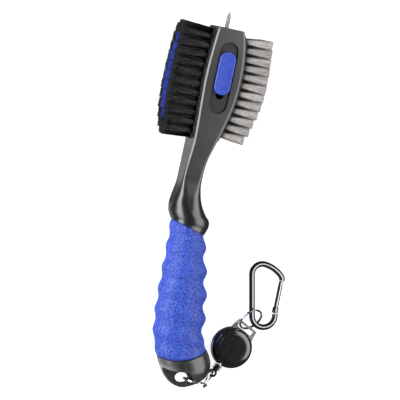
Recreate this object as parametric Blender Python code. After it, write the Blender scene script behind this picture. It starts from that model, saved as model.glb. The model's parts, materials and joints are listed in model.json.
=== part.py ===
"""Club groove brush: a two-sided golf club brush with a retractable groove spike,
a finger grip, and a cord reel and snap hook linked to its butt by small rings.

The brush lies on its side. +Y runs along the spike towards the tip, +X towards the
wire bristles, -X towards the nylon bristles, and +Z towards the spike's button.
Lengths below are in millimetres, and MM turns them into metres.
"""
import math

import bmesh
import bpy
from mathutils import Matrix, Vector

MM = 0.001
GAP = 0.3                      # clearance between pieces that touch
TABLE = -15.0                  # the surface that the brush lies on
CENTRE = (26.62, 142.2)        # middle of the whole outline, seen from above

# head
HEAD_TOP = 271.0
HEAD_HALF = 15.0               # half the head's thickness along Z
PLATE_PROUD = 1.2              # how far the bristle plates stand out of the head
NYLON_SEAT_X = -7.7            # floor of the nylon plate's recess
WIRE_PLATE_DEEP = 4.0
CAVITY = (-7.9, 6.2, 206.0, 262.0, 7.0)    # left, right, bottom, top, half depth
SPIKE_RADIUS = 1.5
SPIKE_TIP = 284.0
SPIKE_TRAVEL = 13.3
BUSH_RADIUS = 2.9
BUTTON_X = 2.4
BUTTON_Y = 237.4
BUTTON_SIZE = (12.3, 32.4)
BUTTON_TOP = 16.5
TRACK_SIZE = (14.2, 54.0)
TRACK_Y = 234.0
TRACK_DEEP = 0.8
STEM_SIZE = (6.0, 12.0)
CARRIER = (-5.0, 5.6, 226.0, 248.6, 5.0)   # left, right, bottom, top, half depth
NOTCH = (1.2, 1.8)             # depth and half height of the carrier's click notches
CLICK_Y = 230.7                # Y of the click spring's bow

# bristles
NYLON_FIELD = (184.6, 269.6, 12.8, 12.8)   # bottom, top, half width, corner radius
WIRE_FIELD = (185.6, 269.4, 12.5, 4.0)
ROOT_STRIP = 0.8               # thickness of the strip that joins a chain of tufts
TUFT_MIDDLE = 228.0            # the Y from which the tufts fan out

# grip and butt
FINGER_PITCH = 17.6
FINGER_PEAK = 105.5            # Y of the topmost finger bulge on the right side
GRIP_TOP = ((-10.4, 123.2), (16.8, 115.4))
GRIP_END = ((-0.5, 22.6), (38.4, 30.6))
GRIP_SAG = 0.0305              # the grip's lower edge dips by this times z squared
WEB_HALF = 4.0                 # half thickness of the butt where the hole is
HOLE_CENTRE = (23.4, 7.2)
HOLE_HALF = (5.5, 4.0)

# leash
SPLIT_RING = (9.2, 0.7)        # radius to the wire's middle, wire radius
RING_A_PIVOT = (25.6, 6.7, 0.0)    # where its wire stands in the butt's hole
RING_A_TURN = -6.0             # its direction from there, degrees
LINK_WIRE = 0.6
LINK_ROLL = 58.0               # roll of the small ring about its long direction
REEL = (59.9, 35.4)
REEL_ANGLE = 63.5              # direction from the cord's exit to the bracket, degrees
REEL_RADIUS = 15.2
CORD_Z = -8.9
CORD_RADIUS = 0.5
EYE_AT = 24.0                  # from the reel's centre to the middle of the cord's eye
EYE_RING = (2.55, 0.75)
PLATE_Z = (-12.4, -11.6)
BAR_AT = 20.3                  # from the reel's centre to the middle of the outer bar
RING_C_CENTRE = (69.3, 59.4, -8.05)
RING_C_ACROSS = (0.76, 0.65)   # level direction in ring C's plane
RING_C_TILT = 42.0

# carabiner, drawn flat and then tilted so that its lower end rides over ring C
HOOK_RADIUS = 2.1
HOOK_TILT = 2.4
HOOK_SEAT = (79.3, 102.3)
HOOK_LOW = (79.3, 63.9, 9.0)   # centre and radius of the lower bend
HOOK_HIGH = (71.7, 94.3, 8.0)
HOOK_NOSE = (83.6, 93.0, 4.2)
GATE_PIVOT = (87.6, 68.9)
GATE_TOP = 92.2
GATE_RADIUS = 1.7
COLLAR_RADIUS = 2.3
TONGUE_HALF = 0.75
LATCH_Y = 90.4                 # Y of the pin that the closed gate hooks over


def clear_scene():
    for old in list(bpy.data.objects):
        bpy.data.objects.remove(old, do_unlink=True)


def material(name, colour, rough, metal=0.0):
    made = bpy.data.materials.new(name)
    made.use_nodes = True
    shader = made.node_tree.nodes["Principled BSDF"]
    shader.inputs["Base Color"].default_value = (*colour, 1.0)
    shader.inputs["Roughness"].default_value = rough
    shader.inputs["Metallic"].default_value = metal
    return made


def empty(name, place, parent=None, turn=(0.0, 0.0, 0.0)):
    made = bpy.data.objects.new(name, None)
    bpy.context.collection.objects.link(made)
    made.location = Vector(place) * MM
    made.rotation_euler = turn
    made.parent = parent
    return made


def piece(name, bm, finish, parent, origin=(0.0, 0.0, 0.0), smooth=35.0):
    """Make an object from a bmesh in millimetres, with its origin at the given place."""
    bmesh.ops.translate(bm, vec=-Vector(origin), verts=bm.verts)
    bmesh.ops.scale(bm, vec=(MM, MM, MM), verts=bm.verts)
    bmesh.ops.recalc_face_normals(bm, faces=bm.faces)
    mesh = bpy.data.meshes.new(name)
    bm.to_mesh(mesh)
    bm.free()
    mesh.shade_smooth()
    mesh.set_sharp_from_angle(angle=math.radians(smooth))
    made = bpy.data.objects.new(name, mesh)
    bpy.context.collection.objects.link(made)
    made.location = Vector(origin) * MM
    made.parent = parent
    if finish is not None:
        mesh.materials.append(finish)
    return made


def cut(target, bm, parent, name, operation="DIFFERENCE"):
    """Take a bmesh's shape out of an object, or join it on, with a Boolean modifier."""
    tool = piece(name, bm, None, parent)
    tool.hide_render = True
    tool.display_type = "WIRE"
    change = target.modifiers.new(name, "BOOLEAN")
    change.operation = operation
    change.object = tool


def smooth_read(points, at):
    """Read a smooth curve through (position, value) points, in order of position."""
    points = sorted(points)
    if at <= points[0][0]:
        return points[0][1]
    if at >= points[-1][0]:
        return points[-1][1]
    index = max(n for n, point in enumerate(points) if point[0] <= at)
    index = min(index, len(points) - 2)
    (x0, y0), (x1, y1) = points[index], points[index + 1]
    before = points[max(index - 1, 0)]
    after = points[min(index + 2, len(points) - 1)]
    slope_0 = (y1 - before[1]) / (x1 - before[0])
    slope_1 = (after[1] - y0) / (after[0] - x0)
    span = x1 - x0
    t = (at - x0) / span
    return (
        y0 * (2 * t**3 - 3 * t**2 + 1)
        + slope_0 * span * (t**3 - 2 * t**2 + t)
        + y1 * (3 * t**2 - 2 * t**3)
        + slope_1 * span * (t**3 - t**2)
    )


def skin(bm, rings, closed=False):
    """Join rings of vertices with quads, and cap both ends unless the rings close."""
    rows = [[bm.verts.new(point) for point in ring] for ring in rings]
    count = len(rows[0])
    pairs = list(zip(rows, rows[1:]))
    if closed:
        pairs.append((rows[-1], rows[0]))
    for low, high in pairs:
        for n in range(count):
            m = (n + 1) % count
            bm.faces.new((low[n], low[m], high[m], high[n]))
    if not closed:
        bm.faces.new(rows[0])
        bm.faces.new(list(reversed(rows[-1])))


def section(left, right, half, corner, sag=0.0, steps=4, grow=0.0):
    """A ring round the handle from its left point to its right point.

    Its corners are quarter ellipses. sag moves a point down by sag times z squared.
    """
    left, right = Vector((*left, 0.0)), Vector((*right, 0.0))
    middle, across = (left + right) / 2, (right - left) / 2
    wide = across.length + grow
    across.normalize()
    half += grow
    round_x, round_z = min(corner, wide), min(corner, half)
    ring = []
    for quarter in range(4):
        sign_x = 1 if quarter in (0, 3) else -1
        sign_z = 1 if quarter in (0, 1) else -1
        for n in range(steps + 1):
            angle = math.radians(90 * (quarter + n / steps))
            x = sign_x * (wide - round_x) + round_x * math.cos(angle)
            z = sign_z * (half - round_z) + round_z * math.sin(angle)
            point = middle + across * x
            ring.append(Vector((point.x, point.y - sag * z * z, z)))
    return ring


def turned(profile, segments=24):
    """Turn a closed outline of (radius, height) points about Z."""
    bm = bmesh.new()
    rings = []
    for n in range(segments):
        angle = 2 * math.pi * n / segments
        rings.append([(r * math.cos(angle), r * math.sin(angle), z) for r, z in profile])
    skin(bm, rings, closed=True)
    bmesh.ops.remove_doubles(bm, verts=bm.verts, dist=1e-5)
    bmesh.ops.dissolve_degenerate(bm, edges=bm.edges, dist=1e-5)
    return bm


def rod(levels, segments=12):
    """A solid turned rod along Z, through (radius, height) levels."""
    bm = bmesh.new()
    rings = []
    for r, z in levels:
        points = arc((0.0, 0.0), r, 0, 360 - 360 / segments, segments - 1)
        rings.append([(x, y, z) for x, y in points])
    skin(bm, rings)
    return bm


def along_y(bm, x=0.0):
    """Lay a shape made along Z down along Y."""
    bmesh.ops.rotate(bm, matrix=Matrix.Rotation(math.radians(-90), 3, "X"), verts=bm.verts)
    bmesh.ops.translate(bm, vec=(x, 0.0, 0.0), verts=bm.verts)
    return bm


def prism(outline, low, high):
    """A flat outline in XY, from one height to another."""
    bm = bmesh.new()
    skin(bm, [[(x, y, low) for x, y in outline], [(x, y, high) for x, y in outline]])
    return bm


def arc(centre, radius, start, end, steps):
    """Points along an arc, with its angles in degrees."""
    points = []
    for n in range(steps + 1):
        angle = math.radians(start + (end - start) * n / steps)
        across, up = radius if isinstance(radius, tuple) else (radius, radius)
        points.append((centre[0] + across * math.cos(angle), centre[1] + up * math.sin(angle)))
    return points


def stadium(x, y, wide, long, steps=8):
    """A slot outline with round ends, standing along Y."""
    radius = wide / 2
    reach = long / 2 - radius
    return (
        arc((x, y + reach), radius, 0, 180, steps)
        + arc((x, y - reach), radius, 180, 360, steps)
    )


def tube(points, radius, sides=8, closed=False):
    """A round bar along a list of points."""
    points = [Vector(point) for point in points]
    count = len(points)
    rings = []
    normal = None
    for n, point in enumerate(points):
        if closed:
            ahead = points[(n + 1) % count] - points[n - 1]
        else:
            ahead = points[min(n + 1, count - 1)] - points[max(n - 1, 0)]
        ahead.normalize()
        if normal is None:
            guess = Vector((0, 0, 1)) if abs(ahead.z) < 0.9 else Vector((1, 0, 0))
            normal = guess
        normal = (normal - ahead * normal.dot(ahead)).normalized()
        side = ahead.cross(normal)
        ring = []
        for k in range(sides):
            angle = 2 * math.pi * k / sides
            ring.append(point + radius * (normal * math.cos(angle) + side * math.sin(angle)))
        rings.append(ring)
    bm = bmesh.new()
    skin(bm, rings, closed)
    return bm


def circle(centre, normal, radius, steps=32):
    """Points round a circle in space."""
    normal = Vector(normal).normalized()
    guess = Vector((0, 0, 1)) if abs(normal.z) < 0.9 else Vector((1, 0, 0))
    first = (guess - normal * guess.dot(normal)).normalized()
    second = normal.cross(first)
    points = []
    for n in range(steps):
        angle = 2 * math.pi * n / steps
        out = first * math.cos(angle) + second * math.sin(angle)
        points.append(Vector(centre) + out * radius)
    return points


# ---- the handle's outline ------------------------------------------------------------

LEFT_EDGE = [
    (HEAD_TOP, -9.3), (256, -10.5), (235, -11.4), (215, -10.8), (198, -10.0),
    (182, -9.5), (166, -10.2), (157, -10.6), (150, -11.0), (144, -12.0),
]
RIGHT_EDGE = [
    (HEAD_TOP, 10.7), (264, 12.9), (256, 14.4), (246, 15.6), (235, 16.0), (225, 15.7),
    (215, 14.8), (206, 13.0), (198, 11.2), (190, 9.2), (182, 7.1), (174, 5.2),
    (166, 4.3), (157, 4.4), (150, 5.0), (144, 6.4),
]
HALF_DEPTH = [(HEAD_TOP, 15.0), (192, 15.0), (182, 14.4), (166, 12.7), (157, 12.4), (144, 13.0)]
CORNER = [(HEAD_TOP, 1.2), (190, 1.4), (166, 2.2), (157, 2.8), (150, 4.0), (144, 6.5)]
HEAD_STATIONS = (262, 253, 244, 235, 226, 217, 208, 199, 190, 182, 174, 166, 157, 150, 144)

# below the neck: left point, right point, half depth, corner radius, sag
SHOULDER = [
    ((-13.3, 137.8), (9.3, 137.2), 13.6, 9.0, 0.0),
    ((-14.2, 133.3), (14.0, 131.0), 14.2, 13.0, 0.0),
    ((-13.9, 129.9), (18.2, 126.6), 14.6, 16.0, 0.0),
    ((-12.7, 126.9), (19.0, 122.4), 14.7, 17.0, 0.0),
    ((-11.4, 124.7), (17.9, 118.4), 14.5, 17.0, 0.0),
    (*GRIP_TOP, 14.2, 17.0, 0.0),
]
CORE = [
    ((-6.6, 122.1), (13.0, 116.5), 10.2, 17.0, 0.0),
    ((-6.0, 100.0), (16.5, 98.5), 10.6, 17.0, 0.0),
    ((-5.0, 60.0), (25.0, 60.0), 10.8, 17.0, 0.0),
    ((-1.5, 37.0), (29.8, 39.0), 10.8, 17.0, 0.01),
    ((3.0, 23.32), (34.2, 29.74), 10.6, 17.0, GRIP_SAG),
]
BUTT = [
    (*GRIP_END, 14.6, 17.0, GRIP_SAG),
    ((0.8, 19.8), (41.6, 26.2), 14.6, 17.0, 0.026),
    ((2.6, 16.4), (43.5, 21.0), 14.3, 17.0, 0.019),
    ((4.8, 13.0), (43.6, 15.8), 13.3, 17.0, 0.012),
    ((7.6, 9.6), (42.2, 11.2), 11.6, 17.0, 0.008),
    ((11.0, 6.4), (39.2, 7.4), 9.4, 17.0, 0.005),
    ((15.0, 3.7), (35.6, 4.4), 7.2, 17.0, 0.0),
    ((19.2, 1.6), (31.2, 2.0), 4.6, 17.0, 0.0),
    ((22.6, 0.4), (27.6, 0.5), 2.2, 17.0, 0.0),
]


def left_edge(y):
    return smooth_read(LEFT_EDGE, y)


def right_edge(y):
    return smooth_read(RIGHT_EDGE, y)


def plate_half(field, y):
    """Half the width of a bristle plate at a height, inside its rounded corners."""
    low, high, half, corner = field
    inside = min(y - low, high - y)
    if inside >= corner:
        return half
    rest = corner - max(inside, 0.0)
    return half - corner + math.sqrt(max(corner**2 - rest**2, 0.0))


def plate(field, inner, outer, grow=0.0):
    """A bristle plate, or with grow the recess for it, between two X edges."""
    low, high, half, corner = field
    field = (low - grow, high + grow, half + grow, corner + grow)
    low, high, half, corner = field
    heights = [low + corner * (1 - math.cos(math.radians(a))) for a in (8, 25, 45, 65, 90)]
    middle = [low + corner + (high - low - 2 * corner) * n / 7 for n in range(1, 7)]
    heights += middle + [low + high - y for y in reversed(heights)]
    rings = []
    for y in heights:
        z = plate_half(field, y)
        a, b = inner(y), outer(y)
        rings.append([(a, y, -z), (b, y, -z), (b, y, z), (a, y, z)])
    bm = bmesh.new()
    skin(bm, rings)
    return bm


def brush_body(finish, frame):
    """The moulded handle: head, neck, collar, the core inside the grip, and the butt."""
    rings = [section((-8.6, HEAD_TOP), (9.9, HEAD_TOP), 14.2, 1.0)]
    rings.append(section((-9.4, 270.2), (10.8, 270.2), HEAD_HALF, 1.2))
    for y in HEAD_STATIONS:
        half = min(smooth_read(HALF_DEPTH, y), HEAD_HALF)
        rings.append(section((left_edge(y), y), (right_edge(y), y), half, smooth_read(CORNER, y)))
    rings += [section(*station) for station in SHOULDER + CORE + BUTT]
    bm = bmesh.new()
    skin(bm, rings)
    body = piece("brush_body", bm, finish, frame)

    seat = plate(NYLON_FIELD, lambda y: -20.0, lambda y: NYLON_SEAT_X, GAP)
    cut(body, seat, frame, "nylon_recess")
    wire_floor = WIRE_PLATE_DEEP + GAP
    seat = plate(WIRE_FIELD, lambda y: right_edge(y) - wire_floor, lambda y: 30.0, GAP)
    cut(body, seat, frame, "wire_recess")
    left, right, low, high, deep = CAVITY
    outline = [(left, low), (right, low), (right, high), (left, high)]
    cut(body, prism(outline, -deep, deep), frame, "works_cavity")
    wide, long = TRACK_SIZE
    track = prism(stadium(BUTTON_X, TRACK_Y, wide, long), HEAD_HALF - TRACK_DEEP, 20.0)
    cut(body, track, frame, "button_track")
    wide, long = STEM_SIZE
    slot_y = BUTTON_Y - SPIKE_TRAVEL / 2
    slot = stadium(BUTTON_X, slot_y, wide + 0.8, long + SPIKE_TRAVEL + 0.8)
    cut(body, prism(slot, deep - 0.5, 16.0), frame, "stem_slot")
    wall = BUSH_RADIUS + GAP
    bore = along_y(rod([(wall, high - 0.5), (wall, HEAD_TOP + 1.0)], 16))
    cut(body, bore, frame, "bush_bore")

    facet = [
        (-2.0, 11.6), (6.0, 10.9), (11.5, 10.2), (18.0, 10.9), (26.6, 12.3), (35.6, 3.2),
        (37.0, -4.0), (-2.0, -4.0),
    ]
    for name, low, high in (("front_facet", WEB_HALF, 20.0), ("back_facet", -20.0, -WEB_HALF)):
        cut(body, prism(facet, low, high), frame, name)
    hole = arc(HOLE_CENTRE, HOLE_HALF, 0, 345, 23)
    cut(body, prism(hole, -10.0, 10.0), frame, "lanyard_hole")
    return body


def grip_station(t):
    """The grip's outline without its finger waves, from its top, t=0, to its end, t=1."""
    left_y = GRIP_TOP[0][1] + (GRIP_END[0][1] - GRIP_TOP[0][1]) * t
    right_y = GRIP_TOP[1][1] + (GRIP_END[1][1] - GRIP_TOP[1][1]) * t
    left_x = smooth_read(
        [(0, -10.3), (0.19, -9.7), (0.38, -9.3), (0.56, -8.7), (0.73, -7.2), (0.87, -4.9),
         (0.94, -2.4), (1, -0.5)], t)
    right_x = smooth_read(
        [(0, 16.9), (0.12, 19.6), (0.32, 24.0), (0.53, 27.9), (0.75, 31.0), (0.88, 32.9),
         (0.95, 34.4), (1, 38.2)], t)
    half = smooth_read([(0, 14.1), (0.15, 14.5), (0.8, 14.6), (1, 14.4)], t)
    return (left_x, left_y), (right_x, right_y), half


def grip_ring(t, steps=5):
    """One ring of the grip's outer surface, with the finger waves."""
    left, right, half = grip_station(t)
    sag = GRIP_SAG * max(0.0, (t - 0.7) / 0.3) ** 2
    ring = section(left, right, half, 17.0, sag, steps)
    middle_x, middle_y = (left[0] + right[0]) / 2, (left[1] + right[1]) / 2
    fade = math.sin(math.pi * min(t, 1 - t) / 0.1) if min(t, 1 - t) < 0.05 else 1.0
    waved = []
    for point in ring:
        phase = (point.y - 0.05 * (point.x - 21.0) - FINGER_PEAK) / FINGER_PITCH
        out = Vector((point.x - middle_x, point.y - middle_y, point.z)).normalized()
        reach = 0.35 + 1.15 * max(out.x, 0.0) ** 2 + 0.35 * max(-out.x, 0.0) ** 2
        waved.append(point + out * reach * fade * math.cos(2 * math.pi * phase))
    return waved


def grip_sleeve(finish, frame):
    """The soft moulded grip, open at both ends over the handle's core."""
    rows = 34
    outer = [grip_ring(0.004 + 0.99 * n / rows) for n in range(rows + 1)]
    inner = [section(*station, steps=5, grow=GAP) for station in reversed(CORE)]
    down = Vector((0.0, 0.35, 0.0))
    inner[0] = [point + down for point in inner[0]]
    inner[-1] = [point - down for point in inner[-1]]
    bm = bmesh.new()
    skin(bm, outer + inner, closed=True)
    return piece("grip_sleeve", bm, finish, frame)


# ---- bristles ------------------------------------------------------------------------

def nylon_face(y):
    return left_edge(y) - PLATE_PROUD


def wire_face(y):
    return right_edge(y) + PLATE_PROUD


def nylon_tip(y):
    reach = (y - 228.0) / 44.0
    return -37.0 + (2.3 if reach > 0 else 3.2) * reach**2


def wire_tip(y):
    if y > 236.0:
        return 38.0 - 3.7 * ((y - 236.0) / 33.0) ** 2
    return 38.0 - 9.8 * ((236.0 - y) / 49.0) ** 2.55


def tufts(name, spots, face, tip, spread, finish, frame, closed=False):
    """A chain of bristle tufts that stand on one root strip.

    Each spot is (y, z, direction of the chain in degrees, half length, half width) at
    the root. spread is how much wider the tips stand: along Y, along Z, and each tuft.
    """
    out = 1 if tip(TUFT_MIDDLE) > 0 else -1
    bm = bmesh.new()
    columns = []
    for y, z, turn, long, wide in spots:
        ahead = Vector((math.cos(math.radians(turn)), math.sin(math.radians(turn))))
        side = Vector((-ahead.y, ahead.x))
        tip_y, tip_z = TUFT_MIDDLE + (y - TUFT_MIDDLE) * spread[0], z * spread[1]
        levels = []
        for level in range(3):
            corners = []
            for a, b in ((-1, -1), (-1, 1), (1, 1), (1, -1)):
                grow = spread[2] if level == 2 else (1.0, 1.0)
                at = ahead * (a * long * grow[0]) + side * (b * wide * grow[1])
                cy = (tip_y if level == 2 else y) + at.x
                cz = (tip_z if level == 2 else z) + at.y
                lift = face(cy) + out * (GAP + ROOT_STRIP * level)
                x = tip(cy) if level == 2 else lift
                corners.append(bm.verts.new((x, cy, cz)))
            levels.append(corners)
        columns.append(levels)
    for back, foot, top in columns:
        bm.faces.new(top)
        bm.faces.new(back)
        for n in range(4):
            m = (n + 1) % 4
            bm.faces.new((foot[n], foot[m], top[m], top[n]))
        for n in (1, 3):
            m = (n + 1) % 4
            bm.faces.new((back[n], back[m], foot[m], foot[n]))
    links = list(zip(columns, columns[1:]))
    if closed:
        links.append((columns[-1], columns[0]))
    else:
        for levels, n in ((columns[0], 0), (columns[-1], 2)):
            back, foot = levels[0], levels[1]
            bm.faces.new((back[n], back[n + 1], foot[n + 1], foot[n]))
    for (back_a, foot_a, _), (back_b, foot_b, _) in links:
        bm.faces.new((foot_a[2], foot_a[3], foot_b[0], foot_b[1]))
        bm.faces.new((back_a[2], back_a[3], back_b[0], back_b[1]))
        bm.faces.new((foot_a[3], back_a[3], back_b[0], foot_b[0]))
        bm.faces.new((foot_a[2], back_a[2], back_b[1], foot_b[1]))
    return piece(name, bm, finish, frame, smooth=20.0)


def nylon_rim_spots(count=26, radius=9.7):
    """Places round the oval rim of the nylon field, a step apart along it."""
    low, high, half, _ = NYLON_FIELD
    middle, reach = (low + high) / 2, (high - low) / 2 - half + 0.3
    around = 4 * reach + 2 * math.pi * radius
    spots = []
    for n in range(count):
        along = around * n / count
        if along < 2 * reach:
            spot = (middle - reach + along, radius, 0.0)
        elif along < 2 * reach + math.pi * radius:
            turn = (along - 2 * reach) / radius
            spot = (middle + reach + radius * math.sin(turn), radius * math.cos(turn),
                    -math.degrees(turn))
        elif along < 4 * reach + math.pi * radius:
            spot = (middle + reach - (along - 2 * reach - math.pi * radius), -radius, 180.0)
        else:
            turn = (along - 4 * reach - math.pi * radius) / radius
            spot = (middle - reach - radius * math.sin(turn), -radius * math.cos(turn),
                    180.0 - math.degrees(turn))
        spots.append((*spot, 2.3, 1.8))
    return spots


def bristles(looks, frame):
    """Both bristle plates with their tufts."""
    bm = plate(NYLON_FIELD, nylon_face, lambda y: NYLON_SEAT_X - GAP)
    piece("nylon_plate", bm, looks["plastic"], frame)
    bm = plate(WIRE_FIELD, lambda y: right_edge(y) - WIRE_PLATE_DEEP, wire_face)
    piece("wire_plate", bm, looks["plastic"], frame)
    spread = (1.055, 1.28, (1.35, 1.2))
    rim = nylon_rim_spots()
    tufts("nylon_rim_tufts", rim, nylon_face, nylon_tip, spread, looks["nylon"], frame, True)
    for n, (z, low, count) in enumerate(((-4.6, 202.0, 8), (0.0, 198.3, 9), (4.6, 202.0, 8))):
        spots = [(low + 7.45 * k, z, 0.0, 2.3, 1.8) for k in range(count)]
        spread = (1.045, 1.5, (1.55, 1.68))
        name = f"nylon_centre_tufts_{n + 1}"
        tufts(name, spots, nylon_face, nylon_tip, spread, looks["blue_nylon"], frame)
    for n, z in enumerate((-9.4, -4.7, 0.0, 4.7, 9.4)):
        spots = [(190.8 + 6.8 * k, z, 0.0, 2.3, 1.7) for k in range(12)]
        spread = (1.03, 1.25, (1.45, 1.5))
        name = f"wire_tufts_{n + 1}"
        tufts(name, spots, wire_face, wire_tip, spread, looks["wire"], frame)


# ---- spike works ---------------------------------------------------------------------

def spike_works(looks, frame):
    """The button, its carrier, the spike, the bush at the tip and the click spring."""
    place = (0.0, BUTTON_Y, 0.0)
    wide, long = BUTTON_SIZE
    low = HEAD_HALF - TRACK_DEEP + GAP
    rings = []
    for inset, z in ((0.0, low), (0.0, BUTTON_TOP - 0.6), (0.6, BUTTON_TOP)):
        outline = stadium(BUTTON_X, BUTTON_Y, wide - 2 * inset, long - 2 * inset)
        rings.append([(x, y, z) for x, y in outline])
    bm = bmesh.new()
    skin(bm, rings)
    button = piece("slide_button", bm, looks["button"], frame, place)
    stem = stadium(BUTTON_X, BUTTON_Y, *STEM_SIZE)
    cut(button, prism(stem, 5.3, low + 0.4), frame, "button_stem", "UNION")

    left, right, bottom, top, half = CARRIER
    outline = [(left, bottom), (right, bottom), (right, top), (left, top)]
    carrier = piece("spike_carrier", prism(outline, -half, half), looks["plastic"], frame, place)
    foot = 238.4                   # lower end of the spike
    wall = SPIKE_RADIUS + GAP
    socket = along_y(rod([(wall, foot - GAP), (wall, top + 1.0)]))
    cut(carrier, socket, frame, "spike_socket")
    depth, reach = NOTCH
    for name, y in (("out_notch", CLICK_Y), ("in_notch", CLICK_Y + SPIKE_TRAVEL)):
        outline = [(left - 1.0, y - reach), (left + depth, y), (left - 1.0, y + reach)]
        cut(carrier, prism(outline, -half - 1.0, half + 1.0), frame, name)

    spike = rod([(SPIKE_RADIUS, foot), (SPIKE_RADIUS, 281.0), (1.0, 283.0), (0.2, SPIKE_TIP)])
    piece("spike_pin", along_y(spike), looks["steel"], frame, place)

    low, high = CAVITY[3] + GAP, HEAD_TOP - 0.3
    bore = SPIKE_RADIUS + 0.35
    bush = turned([(bore, low), (BUSH_RADIUS, low), (BUSH_RADIUS, high), (bore, high)], 16)
    piece("spike_bush", along_y(bush), looks["steel"], frame)

    # a bent strip along the cavity's wall, whose bow clicks into the carrier's notches
    strip, peak = 0.3, left + depth - 2 * GAP
    bow = [(-7.3, -19.0), (-6.9, -8.0), (left - GAP, -1.1), (peak, 0.0), (left - GAP, 1.1),
           (-6.9, 8.0), (-7.3, 17.0)]
    outline = [(x, CLICK_Y + y) for x, y in bow]
    outline += [(x - strip, y) for x, y in reversed(outline)]
    piece("click_spring", prism(outline, -4.0, 4.0), looks["steel"], frame)


# ---- leash ---------------------------------------------------------------------------

def reel_way():
    angle = math.radians(REEL_ANGLE)
    return Vector((math.cos(angle), math.sin(angle), 0.0))


def on_reel(along, across=0.0, z=0.0):
    """A place on the reel's own axes, measured from its centre towards the bracket."""
    way = reel_way()
    return Vector((REEL[0] + way.x * along + way.y * across,
                   REEL[1] + way.y * along - way.x * across, z))


def ring_a_way():
    angle = math.radians(RING_A_TURN)
    return Vector((math.cos(angle), math.sin(angle), 0.0))


def link_points():
    """Where the small ring crosses the split ring's inside, and the middle of the eye."""
    reach = 2 * SPLIT_RING[0] - SPLIT_RING[1] - LINK_WIRE - GAP - 0.1
    inside = Vector(RING_A_PIVOT) + ring_a_way() * reach
    return inside, on_reel(-EYE_AT, 0.0, CORD_Z)


def link_rings(looks, frame):
    """The split ring through the butt's hole, and the small ring between it and the cord."""
    radius, wire = SPLIT_RING
    pivot, way = Vector(RING_A_PIVOT), ring_a_way()
    bm = tube(circle(pivot + way * radius, (-way.y, way.x, 0.0), radius), wire, 6, True)
    piece("butt_split_ring", bm, looks["chrome"], frame, pivot)
    inside, eye = link_points()
    along = (eye - inside).normalized()
    level = Vector((0.0, 0.0, 1.0)).cross(along).normalized()
    roll = math.radians(LINK_ROLL)
    across = level * math.cos(roll) + along.cross(level) * math.sin(roll)
    bm = tube(circle((inside + eye) / 2, along.cross(across), (eye - inside).length / 2, 28),
              LINK_WIRE, 6, True)
    piece("link_ring", bm, looks["chrome"], frame, pivot + way * 2 * radius)
    return across


def cord_fitting(looks, frame, eye_axis):
    """The ribbed end of the cord, with its eye."""
    way = reel_way()
    flat_axis = (eye_axis - way * eye_axis.dot(way)).normalized()
    profile = [(CORD_RADIUS + GAP, 0.0), (2.2, 0.0)]
    for n in range(4):
        low = 0.2 + 1.12 * n
        profile += [(3.1, low), (3.1, low + 0.6), (2.3, low + 0.65), (2.3, low + 1.0)]
    profile += [(1.5, 4.9), (CORD_RADIUS + GAP, 4.9)]
    bm = turned(profile, 12)
    seat = on_reel(-REEL_RADIUS - 1.3, 0.0, CORD_Z)
    turn = Vector((0, 0, 1)).rotation_difference(-way)
    bmesh.ops.rotate(bm, matrix=turn.to_matrix(), verts=bm.verts)
    bmesh.ops.translate(bm, vec=seat, verts=bm.verts)
    eye = on_reel(-EYE_AT, 0.0, CORD_Z)
    fitting = piece("cord_end_fitting", bm, looks["plastic"], frame, eye)
    plug = tube([seat - way * 3.6, seat - way * 5.4], 1.4, 12)
    cut(fitting, plug, frame, "fitting_plug", "UNION")
    ring = tube(circle(eye, flat_axis, EYE_RING[0], 20), EYE_RING[1], 8, True)
    cut(fitting, ring, frame, "fitting_eye", "UNION")


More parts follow.
